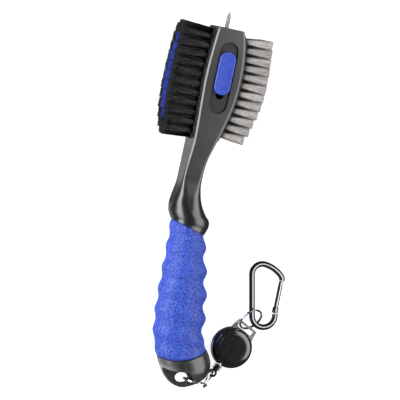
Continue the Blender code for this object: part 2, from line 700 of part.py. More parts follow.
def reel_parts(looks, frame):
    """The cord reel: covers, bracket plate, eyelet, spool, spring, axle and cord."""
    centre = (REEL[0], REEL[1], 0.0)
    wall = REEL_RADIUS - 1.6

    def turned_piece(name, profile, finish, segments=32):
        bm = turned(profile, segments)
        bmesh.ops.translate(bm, vec=centre, verts=bm.verts)
        return piece(name, bm, looks[finish], frame, centre)

    turned_piece("reel_back_cover", [
        (1.9, TABLE), (14.0, TABLE), (15.0, TABLE + 0.7), (15.0, -12.7), (wall, -12.7),
        (wall, -14.0), (1.9, -14.0)], "gloss")
    front = turned_piece("reel_front_cover", [
        (wall, -11.3), (REEL_RADIUS, -11.3), (REEL_RADIUS, -7.0), (14.6, -6.0),
        (13.6, -5.6), (10.9, -5.6), (10.5, -5.0), (1.9, -5.0), (1.9, -6.2), (wall, -6.2)],
        "gloss")
    hole = tube([on_reel(-12.0, 0.0, CORD_Z), on_reel(-18.0, 0.0, CORD_Z)], 2.0, 12)
    cut(front, hole, frame, "cord_exit")

    # bracket plate: a thin ring between the covers, with a slotted tab
    half, far = 8.8, BAR_AT + 1.0
    edge = 15.5
    start = math.degrees(math.asin(10.0 / edge))
    outline = arc((0.0, 0.0), edge, start, 360 - start, 28) + [(far, -half), (far, half)]
    placed = [(on_reel(a, -b).x, on_reel(a, -b).y) for a, b in outline]
    bracket = piece("reel_bracket", prism(placed, *PLATE_Z), looks["nickel"], frame, centre)
    opening = prism(arc(REEL, wall, 0, 348.75, 31), -13.0, -11.0)
    cut(bracket, opening, frame, "bracket_opening")
    slot = [(15.7, -6.6), (15.7, 6.6), (19.3, 6.6), (19.3, -6.6)]
    placed = [(on_reel(a, b).x, on_reel(a, b).y) for a, b in slot]
    cut(bracket, prism(placed, -13.0, -11.0), frame, "bracket_slot")

    eyelet = turned([(0.85, 0.0), (1.65, 0.0), (1.65, 1.6), (2.6, 1.6), (2.6, 2.2), (0.85, 2.2)], 16)
    turn = Vector((0, 0, 1)).rotation_difference(-reel_way())
    bmesh.ops.rotate(eyelet, matrix=turn.to_matrix(), verts=eyelet.verts)
    bmesh.ops.translate(eyelet, vec=on_reel(-13.8, 0.0, CORD_Z), verts=eyelet.verts)
    piece("exit_eyelet", eyelet, looks["nickel"], frame, centre)

    turned_piece("reel_axle", [
        (0.0, TABLE + 0.2), (1.6, TABLE + 0.2), (1.6, -5.2), (0.0, -5.2)], "steel", 12)
    turned_piece("reel_spool", [
        (2.0, -6.6), (12.9, -6.6), (12.9, -7.2), (5.0, -7.2), (5.0, -10.7), (12.9, -10.7),
        (12.9, -11.3), (2.0, -11.3)], "plastic", 24)
    turned_piece("cord_winding", [
        (5.3, -7.6), (11.5, -7.6), (11.5, -10.3), (5.3, -10.3)], "cord", 24)

    # flat clock spring below the spool
    strip = 0.35
    turns, steps = 4.0, 48
    line = []
    for n in range(steps + 1):
        angle = 2 * math.pi * turns * n / steps
        radius = 2.6 + 9.6 * n / steps
        line.append((radius * math.cos(angle), radius * math.sin(angle), radius))
    outline = [(x + REEL[0], y + REEL[1]) for x, y, _ in line]
    outline += [(x * (r - strip) / r + REEL[0], y * (r - strip) / r + REEL[1])
                for x, y, r in reversed(line)]
    bm = bmesh.new()
    count = len(line)
    low, high = -13.7, -11.7
    rings = []
    for n in range(count):
        a, b = outline[n], outline[-1 - n]
        rings.append([(*a, low), (*b, low), (*b, high), (*a, high)])
    skin(bm, rings)
    piece("reel_spring", bm, looks["steel"], frame, centre)

    line = [on_reel(-11.8 - n, 0.0, CORD_Z) for n in range(9)]
    piece("pull_cord", tube(line, CORD_RADIUS, 8), looks["cord"], frame, line[-1])


def bracket_ring(looks, frame):
    """The split ring through the bracket's slot and round the carabiner."""
    radius, wire = SPLIT_RING
    across = Vector((*RING_C_ACROSS, 0.0)).normalized()
    tilt = math.radians(RING_C_TILT)
    down = Vector((across.y * math.cos(tilt), -across.x * math.cos(tilt), -math.sin(tilt)))
    bm = tube(circle(RING_C_CENTRE, across.cross(down), radius), wire, 6, True)
    pivot = on_reel(BAR_AT, 0.0, sum(PLATE_Z) / 2)
    piece("bracket_ring", bm, looks["chrome"], frame, pivot)


def hook_line():
    """The carabiner's middle line, from the gate's pivot round to the nose."""
    line = arc(HOOK_LOW[:2], HOOK_LOW[2], 17, -165, 12)
    line += arc(HOOK_HIGH[:2], HOOK_HIGH[2], 193, 62, 7)
    line += arc(HOOK_NOSE[:2], HOOK_NOSE[2], 62, -5, 4)
    return line


def carabiner(looks, frame):
    """The snap hook: bent frame, gate, pivot pin, latch pin, plunger and spring."""
    seat = empty("carabiner_seat", (*HOOK_SEAT, TABLE + HOOK_RADIUS), frame,
                 (math.radians(-HOOK_TILT), 0.0, 0.0))
    shift = Vector((HOOK_SEAT[0], HOOK_SEAT[1], 0.0))

    def place(name, bm, finish, pivot=(0.0, 0.0)):
        bmesh.ops.translate(bm, vec=-shift, verts=bm.verts)
        return piece(name, bm, looks[finish], seat, Vector((*pivot, 0.0)) - shift)

    def trim(target, bm, name, operation="DIFFERENCE"):
        bmesh.ops.translate(bm, vec=-shift, verts=bm.verts)
        cut(target, bm, seat, name, operation)

    pivot_x, pivot_y = GATE_PIVOT
    nose_x = HOOK_NOSE[0] + HOOK_NOSE[2]
    line = [(x, y, 0.0) for x, y in hook_line()]
    hook = place("carabiner_frame", tube(line, HOOK_RADIUS, 10), "anodised", (79.3, 57.0))
    tongue = prism([(pivot_x - 1.2, pivot_y - 3.4), (pivot_x + 1.2, pivot_y - 3.4),
                    (pivot_x + 1.2, pivot_y + 1.2), (pivot_x - 1.2, pivot_y + 1.2)],
                   -TONGUE_HALF, TONGUE_HALF)
    trim(hook, tongue, "hinge_tongue", "UNION")
    tongue = prism([(nose_x - 1.2, 89.3), (nose_x + 1.2, 89.3), (nose_x + 1.2, 93.6),
                    (nose_x - 1.2, 93.6)], -TONGUE_HALF, TONGUE_HALF)
    trim(hook, tongue, "nose_tongue", "UNION")
    for name, x, y in (("pivot_hole", pivot_x, pivot_y), ("latch_hole", nose_x, LATCH_Y)):
        trim(hook, prism(arc((x, y), 0.85, 0, 315, 7), -3.0, 3.0), name)

    collar_low, collar_high = pivot_y - 1.4, pivot_y + 2.4
    rings = []
    for r, y in ((COLLAR_RADIUS, collar_low), (COLLAR_RADIUS, collar_high),
                 (GATE_RADIUS, collar_high + 0.6), (GATE_RADIUS, GATE_TOP)):
        rings.append([(pivot_x + x, y, z) for x, z in arc((0, 0), r, 0, 330, 11)])
    bm = bmesh.new()
    skin(bm, rings)
    gate = place("carabiner_gate", bm, "silver", GATE_PIVOT)
    half = TONGUE_HALF + GAP
    fork = prism([(pivot_x - 4, collar_low - 1), (pivot_x + 4, collar_low - 1),
                  (pivot_x + 4, pivot_y + 1.9), (pivot_x - 4, pivot_y + 1.9)], -half, half)
    trim(gate, fork, "gate_fork")
    fork = prism([(pivot_x - 4, 88.9), (pivot_x + 4, 88.9), (pivot_x + 4, 94.0),
                  (pivot_x - 4, 94.0)], -half, half)
    trim(gate, fork, "gate_mouth")
    notch = prism([(nose_x - 0.9, 89.5), (nose_x + 4, 89.2), (nose_x + 4, 91.6),
                   (nose_x - 0.9, 91.3)], -4.0, 4.0)
    trim(gate, notch, "latch_notch")
    trim(gate, prism(arc(GATE_PIVOT, 0.85, 0, 315, 7), -4.0, 4.0), "gate_pin_hole")
    spring_low, spring_high = pivot_y + 1.5, 82.0
    bore = along_y(rod([(1.0, spring_low), (1.0, spring_high)], 10), pivot_x)
    trim(gate, bore, "spring_bore")

    for name, x, y, reach in (("gate_pin", pivot_x, pivot_y, COLLAR_RADIUS),
                              ("latch_pin", nose_x, LATCH_Y, 1.6)):
        pin = rod([(0.55, -reach), (0.55, reach)], 10)
        bmesh.ops.translate(pin, vec=(x, y, 0.0), verts=pin.verts)
        place(name, pin, "silver", (x, y))
    plunger = rod([(0.7, spring_low + 0.5), (0.7, 73.6)], 10)
    place("gate_plunger", along_y(plunger, pivot_x), "steel", GATE_PIVOT)
    coil = []
    turns, per_turn = 6, 9
    for n in range(turns * per_turn + 1):
        angle = 2 * math.pi * n / per_turn
        y = 74.1 + 7.4 * n / (turns * per_turn)
        coil.append((pivot_x + 0.55 * math.cos(angle), y, 0.55 * math.sin(angle)))
    place("gate_spring", tube(coil, 0.14, 4), "steel", GATE_PIVOT)


def finishes():
    return {
        "plastic": material("black_plastic", (0.035, 0.035, 0.038), 0.38),
        "grip": material("blue_rubber", (0.035, 0.085, 0.62), 0.55),
        "button": material("blue_plastic", (0.04, 0.10, 0.70), 0.4),
        "nylon": material("black_nylon", (0.012, 0.012, 0.013), 0.5),
        "blue_nylon": material("blue_nylon", (0.03, 0.07, 0.5), 0.5),
        "wire": material("steel_wire", (0.55, 0.52, 0.49), 0.45, 0.6),
        "steel": material("steel", (0.6, 0.6, 0.61), 0.25, 1.0),
        "chrome": material("chrome", (0.75, 0.75, 0.76), 0.12, 1.0),
        "nickel": material("nickel", (0.6, 0.6, 0.6), 0.25, 1.0),
        "gloss": material("gloss_black", (0.01, 0.01, 0.01), 0.15),
        "cord": material("black_cord", (0.015, 0.015, 0.015), 0.7),
        "anodised": material("black_anodised", (0.012, 0.012, 0.013), 0.2, 0.6),
        "silver": material("silver_gate", (0.8, 0.8, 0.8), 0.2, 1.0),
    }


def main():
    clear_scene()
    looks = finishes()
    frame = empty("brush_frame", (-CENTRE[0], -CENTRE[1], -TABLE))
    brush_body(looks["plastic"], frame)
    grip_sleeve(looks["grip"], frame)
    bristles(looks, frame)
    spike_works(looks, frame)
    eye_axis = link_rings(looks, frame)
    cord_fitting(looks, frame, eye_axis)
    reel_parts(looks, frame)
    bracket_ring(looks, frame)
    carabiner(looks, frame)


main()
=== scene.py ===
"""Looks of the club groove brush: moulded handle, pebbled grip, real bristles,
split rings, cord reel and snap hook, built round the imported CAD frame.

Lengths are in millimetres in the part's own layout: X = 0 on the spike's axis, Y = 0 just
below the butt, Z = 0 half way up the head. ORIGIN, read from the frame, places that layout.
"""

import json
import math
import random

import bmesh
import bpy
from mathutils import Matrix, Vector, noise

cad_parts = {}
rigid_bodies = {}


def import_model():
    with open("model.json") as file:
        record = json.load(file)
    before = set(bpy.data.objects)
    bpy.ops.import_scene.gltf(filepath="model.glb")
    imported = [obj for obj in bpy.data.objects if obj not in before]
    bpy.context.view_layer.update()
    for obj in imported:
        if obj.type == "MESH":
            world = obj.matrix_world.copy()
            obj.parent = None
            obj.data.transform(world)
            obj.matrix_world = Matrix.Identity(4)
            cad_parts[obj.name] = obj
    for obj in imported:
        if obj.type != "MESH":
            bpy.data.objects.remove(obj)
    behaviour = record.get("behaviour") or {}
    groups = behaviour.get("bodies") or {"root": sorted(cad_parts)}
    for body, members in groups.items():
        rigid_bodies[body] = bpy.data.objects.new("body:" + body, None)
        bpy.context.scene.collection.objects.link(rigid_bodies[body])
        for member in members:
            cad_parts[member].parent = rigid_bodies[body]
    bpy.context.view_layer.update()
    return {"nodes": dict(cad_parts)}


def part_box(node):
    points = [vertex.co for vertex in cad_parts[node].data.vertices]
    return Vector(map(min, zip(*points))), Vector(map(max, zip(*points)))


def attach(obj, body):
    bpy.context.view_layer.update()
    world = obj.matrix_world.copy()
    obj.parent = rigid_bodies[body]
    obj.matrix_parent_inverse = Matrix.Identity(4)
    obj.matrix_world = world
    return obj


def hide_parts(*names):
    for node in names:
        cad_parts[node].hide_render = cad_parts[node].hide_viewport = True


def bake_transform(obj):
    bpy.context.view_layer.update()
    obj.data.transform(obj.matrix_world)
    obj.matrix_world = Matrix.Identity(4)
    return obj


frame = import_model()

MM = 0.001
GAP = 0.3
BUTT_LOW = 0.4
HEAD_HALF = 15.0
SPIKE_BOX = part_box("spike_pin")
BODY_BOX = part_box("brush_body")
ORIGIN = Vector(((SPIKE_BOX[0].x + SPIKE_BOX[1].x) / 2, BODY_BOX[0].y - BUTT_LOW * MM,
                 HEAD_HALF * MM))
TABLE = -HEAD_HALF

HEAD_TOP = (BODY_BOX[1].y - ORIGIN.y) / MM
SPIKE_TIP = (SPIKE_BOX[1].y - ORIGIN.y) / MM
SPIKE_RADIUS = 1.5

NYLON_FIELD = (184.6, 269.6, 12.8, 12.8)   # bottom, top, half width, corner radius
WIRE_FIELD = (185.6, 269.4, 12.5, 4.0)
PLATE_PROUD = 1.2
NYLON_SEAT_X = -7.7                        # floor of the nylon plate's recess
WIRE_PLATE_DEEP = 4.0
CAVITY = (-7.9, 6.2, 206.0, 262.0, 7.0)    # left, right, bottom, top, half depth
BUSH_RADIUS = 2.9
BUTTON_X = 2.4
BUTTON_Y = 237.4
BUTTON_SIZE = (12.3, 32.4)
BUTTON_TOP = 16.5
TRACK_SIZE = (14.2, 54.0)
TRACK_Y = 234.0
TRACK_DEEP = 0.8
STEM_SIZE = (6.0, 12.0)
SPIKE_TRAVEL = 13.3
TUFT_MIDDLE = 228.0                        # the Y from which the tufts fan out

FINGER_PITCH = 16.85
FINGER_PEAK = 104.75                       # Y of one bulge of the grip
GRIP_TOP = ((-10.4, 123.2), (16.8, 115.4))
GRIP_END = ((1.7, 19.2), (38.2, 31.0))
GRIP_SAG = 0.0202                          # the lower edge dips by this times z squared
WEB_HALF = 4.0                             # half thickness of the butt round its hole
HOLE_CENTRE = (23.4, 7.2)
HOLE_HALF = (5.5, 4.0)

SPLIT_RING = (9.2, 0.7)                    # radius to the wire's middle, wire radius
RING_A_PIVOT = (25.6, 6.7, 0.0)
RING_A_TURN = -6.0
LINK_WIRE = 0.6
LINK_ROLL = 58.0
REEL = (59.9, 35.4)
REEL_ANGLE = 63.5                          # direction from the cord's exit to the bracket
REEL_RADIUS = 15.2
CORD_Z = -8.9
CORD_RADIUS = 0.5
EYE_AT = 24.0                              # from the reel's centre to the cord end's eye
EYE_RING = (2.55, 0.75)
PLATE_Z = (-12.4, -11.6)
BAR_AT = 20.3                              # from the reel's centre to the bracket's outer bar
RING_C_CENTRE = (69.3, 59.4, -8.05)
RING_C_ACROSS = (0.76, 0.65)
RING_C_TILT = 42.0

HOOK_RADIUS = 2.1
HOOK_TILT = 2.4
HOOK_SEAT = (79.3, 102.3)
HOOK_LOW = (79.3, 63.9, 9.0)               # each bend of the carabiner: centre and radius
HOOK_HIGH = (71.7, 94.3, 8.0)
HOOK_BOW = (70.28, 78.36, 24.0)
HOOK_NOSE = (83.6, 93.0, 4.2)
GATE_PIVOT = (87.6, 68.9)
GATE_TOP = 92.2
GATE_RADIUS = 1.7
COLLAR_RADIUS = 2.3
TONGUE_HALF = 0.75
LATCH_Y = 90.4
PIN_HOLE_RADIUS = 0.85


# ---- camera, light and floor ---------------------------------------------------------

VIEW_FROM = Vector((-0.2489, 0.0481, 0.9673))      # from the object towards the camera
VIEW_RIGHT = Vector((0.9486, 0.2138, 0.2335))
VIEW_WIDTH = 0.300                                 # width of the view at the object
VIEW_AWAY = 2.4
LOOK_AT = Vector((-0.0182, -0.0014, 0.0149))


def aim(thing, forward, right):
    """Turn a camera or a light so that it looks along forward, with right to its right."""
    forward = forward.normalized()
    right = (right - forward * right.dot(forward)).normalized()
    up = right.cross(forward)
    thing.rotation_euler = Matrix((right, up, -forward)).transposed().to_euler()


def add_object(name, data):
    """A new object in the scene."""
    made = bpy.data.objects.new(name, data)
    bpy.context.collection.objects.link(made)
    return made


def make_camera():
    """The camera: a long lens, VIEW_AWAY metres from the object, looking back along VIEW_FROM."""
    data = bpy.data.cameras.new("camera")
    data.sensor_width = 36.0
    data.lens = data.sensor_width * VIEW_AWAY / VIEW_WIDTH
    data.clip_start = 0.01
    data.clip_end = 20.0
    camera = add_object("camera", data)
    camera.location = LOOK_AT + VIEW_FROM.normalized() * VIEW_AWAY
    aim(camera, -VIEW_FROM, VIEW_RIGHT)
    bpy.context.scene.camera = camera


def softbox(name, lean, turn, away, size, power):
    """A soft light, lean degrees off straight overhead towards the compass turn."""
    data = bpy.data.lights.new(name, "AREA")
    data.shape = "RECTANGLE"
    data.size, data.size_y = size
    data.energy = power
    light = add_object(name, data)
    lean, turn = math.radians(lean), math.radians(turn)
    way = Vector((math.sin(lean) * math.cos(turn), math.sin(lean) * math.sin(turn), math.cos(lean)))
    light.location = LOOK_AT + way * away
    aim(light, LOOK_AT - light.location, Vector((-way.y, way.x, 0.0)))
    return light


def light_only(light, pieces, state="INCLUDE"):
    """Let a light reach only these pieces, or, with EXCLUDE, every piece but these."""
    reached = bpy.data.collections.new(light.name + "_reach")
    for piece in pieces:
        reached.objects.link(piece)
    light.light_linking.receiver_collection = reached
    for entry in reached.collection_objects:
        entry.light_linking.link_state = state


def make_sky():
    """Grey surroundings, with a paler patch below on the left as off a white table."""
    world = bpy.data.worlds.new("studio")
    bpy.context.scene.world = world
    world.use_nodes = True
    tree = world.node_tree
    back = tree.nodes["Background"]
    back.inputs["Color"].default_value = (1.0, 1.0, 1.0, 1.0)
    x, y, z = axes_of(tree, "Generated")
    left = between(tree, x, 0.0, 1.0, 0.0, -0.25)
    below = between(tree, z, 0.0, 1.0, -0.5, -0.8)
    low = between(tree, y, 1.0, 0.0, -0.03, 0.04)
    patch = times(tree, times(tree, left, below), low)
    tree.links.new(between(tree, patch, 0.09, 0.95, 0.0, 1.0), back.inputs["Strength"])


def make_stage():
    """The surroundings, and a floor that gives off light of its own, so that it shows white."""
    bpy.context.scene.view_settings.view_transform = "Standard"
    make_sky()
    bm = bmesh.new()
    half = 3.0
    corners = ((-half, -half), (half, -half), (half, half), (-half, half))
    bm.faces.new([bm.verts.new((x, y, -0.0001)) for x, y in corners])
    mesh = bpy.data.meshes.new("floor")
    bm.to_mesh(mesh)
    bm.free()
    floor = add_object("floor", mesh)
    made, _, shader = new_material("floor_paper")
    shader.inputs["Base Color"].default_value = (0.30, 0.30, 0.30, 1.0)
    shader.inputs["Roughness"].default_value = 0.9
    shader.inputs["Emission Color"].default_value = (1.0, 1.0, 1.0, 1.0)
    shader.inputs["Emission Strength"].default_value = 0.93
    mesh.materials.append(made)
    floor.visible_glossy = False


# ---- materials -----------------------------------------------------------------------

def new_material(name):
    """A material, its node tree and its shader."""
    made = bpy.data.materials.new(name)
    made.use_nodes = True
    tree = made.node_tree
    return made, tree, tree.nodes["Principled BSDF"]


def axes_of(tree, space):
    """The X, Y and Z of one kind of texture coordinates."""
    where = tree.nodes.new("ShaderNodeTexCoord")
    parts = tree.nodes.new("ShaderNodeSeparateXYZ")
    tree.links.new(where.outputs[space], parts.inputs["Vector"])
    return parts.outputs["X"], parts.outputs["Y"], parts.outputs["Z"]


def stored(tree, name):
    """A value that the mesh stores at each of its points."""
    made = tree.nodes.new("ShaderNodeAttribute")
    made.attribute_name = name
    return made.outputs["Fac"]


def speckle(tree, size, detail=3.0, stretch=(1.0, 1.0, 1.0)):
    """Noise whose features are about size millimetres across."""
    where = tree.nodes.new("ShaderNodeTexCoord")
    moved = tree.nodes.new("ShaderNodeMapping")
    moved.inputs["Scale"].default_value = [s / MM for s in stretch]
    tree.links.new(where.outputs["Object"], moved.inputs["Vector"])
    made = tree.nodes.new("ShaderNodeTexNoise")
    made.inputs["Scale"].default_value = 1.0 / size
    made.inputs["Detail"].default_value = detail
    tree.links.new(moved.outputs["Vector"], made.inputs["Vector"])
    return made.outputs["Fac"]


def between(tree, value, low, high, from_low=0.3, from_high=0.7):
    """Stretch a value to a range."""
    made = tree.nodes.new("ShaderNodeMapRange")
    made.inputs["From Min"].default_value = from_low
    made.inputs["From Max"].default_value = from_high
    made.inputs["To Min"].default_value = low
    made.inputs["To Max"].default_value = high
    tree.links.new(value, made.inputs["Value"])
    return made.outputs["Result"]


def times(tree, first, second):
    """One value times another."""
    made = tree.nodes.new("ShaderNodeMath")
    made.operation = "MULTIPLY"
    tree.links.new(first, made.inputs[0])
    tree.links.new(second, made.inputs[1])
    return made.outputs["Value"]


def ramp(tree, value, stops):
    """A colour read from (place, colour) stops, where one number stands for a grey."""
    made = tree.nodes.new("ShaderNodeValToRGB")
    elements = made.color_ramp.elements
    while len(elements) < len(stops):
        elements.new(0.5)
    for element, (place, tone) in zip(elements, stops):
        element.position = place
        element.color = (*tone, 1.0) if isinstance(tone, tuple) else (tone, tone, tone, 1.0)
    tree.links.new(value, made.inputs["Fac"])
    return made.outputs["Color"]


def two_tones(tree, value, first, second, low=0.3, high=0.7):
    """A colour that goes from the first to the second as the value rises."""
    return ramp(tree, value, ((low, first), (high, second)))


def scaled(tree, colour, value):
    """A colour times a value, which may be above 1."""
    mixed = tree.nodes.new("ShaderNodeMixRGB")
    mixed.blend_type = "MULTIPLY"
    mixed.inputs["Fac"].default_value = 1.0
    tree.links.new(colour, mixed.inputs["Color1"])
    tree.links.new(value, mixed.inputs["Color2"])
    return mixed.outputs["Color"]


def bump(tree, shader, height, depth):
    """Raise the surface by height times depth millimetres."""
    made = tree.nodes.new("ShaderNodeBump")
    made.inputs["Strength"].default_value = 1.0
    made.inputs["Distance"].default_value = depth * MM
    tree.links.new(height, made.inputs["Height"])
    tree.links.new(made.outputs["Normal"], shader.inputs["Normal"])


def surface(name, tones, rough, size=1.0, grain=(0.2, 0.01), metal=0.0, coat=0.0,
            stretch=(1.0, 1.0, 1.0)):
    """A material with two close tones, an uneven gloss and a fine grain in its surface."""
    made, tree, shader = new_material(name)
    mottle = speckle(tree, size, 4.0, stretch)
    tree.links.new(two_tones(tree, mottle, *tones), shader.inputs["Base Color"])
    tree.links.new(between(tree, mottle, *rough), shader.inputs["Roughness"])
    shader.inputs["Metallic"].default_value = metal
    shader.inputs["Coat Weight"].default_value = coat
    shader.inputs["Coat Roughness"].default_value = 0.06
    grain_size, grain_depth = grain
    bump(tree, shader, speckle(tree, grain_size, 2.0, stretch), grain_depth)
    return made


def rubber_grip():
    """Blue soft rubber with a leather grain, its colour holding painted shade in the valleys and a
    painted highlight on the crowns, which are also glossier.
    """
    made, tree, shader = new_material("blue_rubber")
    crown = stored(tree, "crown")
    # painted shade and highlight: the valleys darker, the crowns paler
    painted_light_and_shade_tint = two_tones(tree, crown, (0.006, 0.024, 0.20), (0.058, 0.116, 0.61), 0.0, 1.0)
    tree.links.new(painted_light_and_shade_tint, shader.inputs["Base Color"])
    tree.links.new(between(tree, crown, 0.58, 0.28, 0.0, 1.0), shader.inputs["Roughness"])
    shader.inputs["Specular IOR Level"].default_value = 0.32
    bump(tree, shader, speckle(tree, 0.4, 3.0), 0.05)
    return made


# places along the handle, as shares of PLASTIC_SPAN from the butt, and the grey or roughness there;
# the greys are the plastic's dark grey with painted light and shade: pale at the web and on the
# neck and head, dark over the butt's band, the grip's core and the round shoulder
PLASTIC_SPAN = 280.0
PLASTIC_GREY_WITH_PAINTED_LIGHT = ((0.0, 0.044), (0.04, 0.034), (0.055, 0.009), (0.486, 0.006), (0.60, 0.042),
                (0.68, 0.038), (0.80, 0.026), (0.87, 0.034), (0.93, 0.050))
PLASTIC_ROUGH = ((0.0, 0.38), (0.04, 0.36), (0.055, 0.31), (0.45, 0.30), (0.50, 0.27), (0.60, 0.30))
PAINTED_HEEL_HIGHLIGHT = 10.0                                  # how many times paler the butt's left side is painted, as a painted highlight


def handle_plastic():
    """Black plastic, whose gloss changes along the handle, and whose grey holds painted light
    and shade: pale at the web and on the neck and head, dark over the butt's band, the grip's
    core and the round shoulder, and lighter towards its right.

    A painted highlight makes it palest on the left of the butt, between the grip and the thin web.
    """
    made, tree, shader = new_material("black_plastic")
    x, y, _ = axes_of(tree, "Object")
    along = between(tree, y, 0.0, 1.0, ORIGIN.y, ORIGIN.y + PLASTIC_SPAN * MM)
    # painted light: the grey rises towards the handle's right
    across = between(tree, x, 0.8, 1.12, ORIGIN.x - 8 * MM, ORIGIN.x + 10 * MM)
    # painted highlight: the left of the butt, between the grip and the web, is painted many times
    # paler
    left = between(tree, x, 1.0, 0.0, ORIGIN.x + 5 * MM, ORIGIN.x + 19 * MM)
    below_grip = between(tree, y, 1.0, 0.0, ORIGIN.y + 28 * MM, ORIGIN.y + 34 * MM)
    above_web = between(tree, y, 0.0, 1.0, ORIGIN.y + 9.5 * MM, ORIGIN.y + 12 * MM)
    painted_heel_highlight_mask = times(tree, times(tree, left, below_grip), above_web)
    painted_light_gain = times(tree, across, between(tree, painted_heel_highlight_mask, 1.0, PAINTED_HEEL_HIGHLIGHT, 0.0, 1.0))
    grain = between(tree, speckle(tree, 5.0, 4.0), 0.86, 1.0)
    tone = scaled(tree, ramp(tree, along, PLASTIC_GREY_WITH_PAINTED_LIGHT), times(tree, grain, painted_light_gain))
    tree.links.new(tone, shader.inputs["Base Color"])
    tree.links.new(ramp(tree, along, PLASTIC_ROUGH), shader.inputs["Roughness"])
    shader.inputs["Specular IOR Level"].default_value = 0.85
    bump(tree, shader, speckle(tree, 0.3, 2.0), 0.004)
    return made


def bristle(name, tones, rough, grain, gloss=0.5, metal=0.0):
    """Bristles of two tones, darkened by the painted shade stored along each, which also holds a
    random tone.

    grain gives the size of the streaks along them and how far these are drawn out.
    """
    made, tree, shader = new_material(name)
    size, drawn = grain
    streak = speckle(tree, size, 3.0, (drawn, 1.0, 1.0))
    tone = scaled(tree, two_tones(tree, streak, *tones, 0.36, 0.64), stored(tree, "shade"))
    tree.links.new(tone, shader.inputs["Base Color"])
    tree.links.new(between(tree, streak, *rough), shader.inputs["Roughness"])
    shader.inputs["Metallic"].default_value = metal
    shader.inputs["Specular IOR Level"].default_value = gloss
    bump(tree, shader, speckle(tree, 0.12, 2.0), 0.006)
    return made


def finishes():
    """Every material, by name."""
    black, near_black = (0.010, 0.010, 0.011), (0.016, 0.016, 0.017)
    return {
        "body": handle_plastic(),
        "plate": surface("plate_plastic", ((0.016, 0.016, 0.017), (0.022, 0.022, 0.023)),
                         (0.42, 0.5), 2.0, (0.3, 0.006)),
        # painted shade: a darker plastic for the floors of the button's track and of the web round
        # the hole
        "track": surface("recess_shade_plastic", ((0.010, 0.010, 0.010), (0.015, 0.015, 0.015)),
                         (0.36, 0.44), 2.0, (0.3, 0.004)),
        "grip": rubber_grip(),
        "button": surface("blue_plastic", ((0.033, 0.068, 0.41), (0.040, 0.080, 0.47)),
                          (0.36, 0.44), 3.0, (0.2, 0.006)),
        "nylon": bristle("black_nylon", ((0.002, 0.002, 0.002), (0.068, 0.068, 0.068)),
                         (0.4, 0.55), (0.55, 0.07), 0.16),
        "blue_nylon": bristle("blue_nylon", ((0.010, 0.022, 0.15), (0.028, 0.056, 0.45)),
                              (0.45, 0.6), (0.6, 0.4), 0.15),
        "wire": bristle("steel_wire", ((0.31, 0.295, 0.285), (0.84, 0.805, 0.78)),
                        (0.4, 0.55), (0.42, 0.6), 0.5, 0.12),
        "steel": surface("drawn_steel", ((0.30, 0.30, 0.31), (0.46, 0.46, 0.47)),
                         (0.2, 0.32), 0.4, (0.06, 0.003), 1.0, stretch=(1.0, 0.1, 1.0)),
        "chrome": surface("chrome", ((0.74, 0.74, 0.75), (0.80, 0.80, 0.81)),
                          (0.07, 0.13), 1.5, (0.3, 0.002), 1.0),
        "nickel": surface("nickel_plate", ((0.50, 0.50, 0.49), (0.60, 0.60, 0.59)),
                          (0.17, 0.25), 1.0, (0.08, 0.003), 1.0, stretch=(1.0, 0.15, 1.0)),
        "gloss": surface("gloss_black", ((0.006, 0.006, 0.007), (0.009, 0.009, 0.010)),
                         (0.12, 0.2), 3.0, (1.2, 0.004), coat=1.0),
        "fitting": surface("soft_black_plastic", (black, near_black), (0.28, 0.36), 1.0,
                           (0.15, 0.004)),
        "cord": surface("braided_cord", (black, (0.035, 0.035, 0.036)), (0.6, 0.75), 0.35,
                        (0.25, 0.05)),
        "anodised": surface("black_anodised", ((0.10, 0.10, 0.105), (0.13, 0.13, 0.135)),
                            (0.10, 0.15), 1.2, (0.1, 0.002), 1.0, 0.3),
        "gate": surface("polished_aluminium", ((0.17, 0.17, 0.175), (0.22, 0.22, 0.225)),
                        (0.14, 0.2), 0.6, (0.08, 0.003), 1.0, stretch=(1.0, 0.12, 1.0)),
    }


# ---- shaping -------------------------------------------------------------------------

def smooth_read(points, at):
    """Read a smooth curve through (position, value) points, in order of position."""
    points = sorted(points)
    if at <= points[0][0]:
        return points[0][1]
    if at >= points[-1][0]:
        return points[-1][1]
    index = max(n for n, point in enumerate(points) if point[0] <= at)
    index = min(index, len(points) - 2)
    (x0, y0), (x1, y1) = points[index], points[index + 1]
    before = points[max(index - 1, 0)]
    after = points[min(index + 2, len(points) - 1)]
    slope_0 = (y1 - before[1]) / (x1 - before[0])
    slope_1 = (after[1] - y0) / (after[0] - x0)
    span = x1 - x0
    t = (at - x0) / span
    return (
        y0 * (2 * t**3 - 3 * t**2 + 1)
        + slope_0 * span * (t**3 - 2 * t**2 + t)
        + y1 * (3 * t**2 - 2 * t**3)
        + slope_1 * span * (t**3 - t**2)
    )


def share_of(value, low, high):
    """How far a value lies from low to high, from 0 to 1."""
    return min(max((value - low) / (high - low), 0.0), 1.0)


def eased_share(value, low, high):
    """The same, starting and ending gently."""
    share = share_of(value, low, high)
    return share * share * (3 - 2 * share)


def skin(bm, rings, closed=False):
    """Join rings of vertices with quads, and cap both ends unless the rings close."""
    rows = [[bm.verts.new(point) for point in ring] for ring in rings]
    count = len(rows[0])
    pairs = list(zip(rows, rows[1:]))
    if closed:
        pairs.append((rows[-1], rows[0]))
    for low, high in pairs:
        for n in range(count):
            m = (n + 1) % count
            bm.faces.new((low[n], low[m], high[m], high[n]))
    if not closed:
        bm.faces.new(rows[0])
        bm.faces.new(list(reversed(rows[-1])))
    return rows


def angles(count):
    """Angles that divide a full turn evenly."""
    return [2 * math.pi * n / count for n in range(count)]


def skinned(rings, closed=False):
    """A new shape through rings of points."""
    bm = bmesh.new()
    skin(bm, rings, closed)
    return bm


def tidy(bm):
    """Merge the points that fall together and drop the faces that vanish."""
    bmesh.ops.remove_doubles(bm, verts=bm.verts, dist=2e-4)
    bmesh.ops.dissolve_degenerate(bm, edges=bm.edges, dist=2e-4)
    return bm


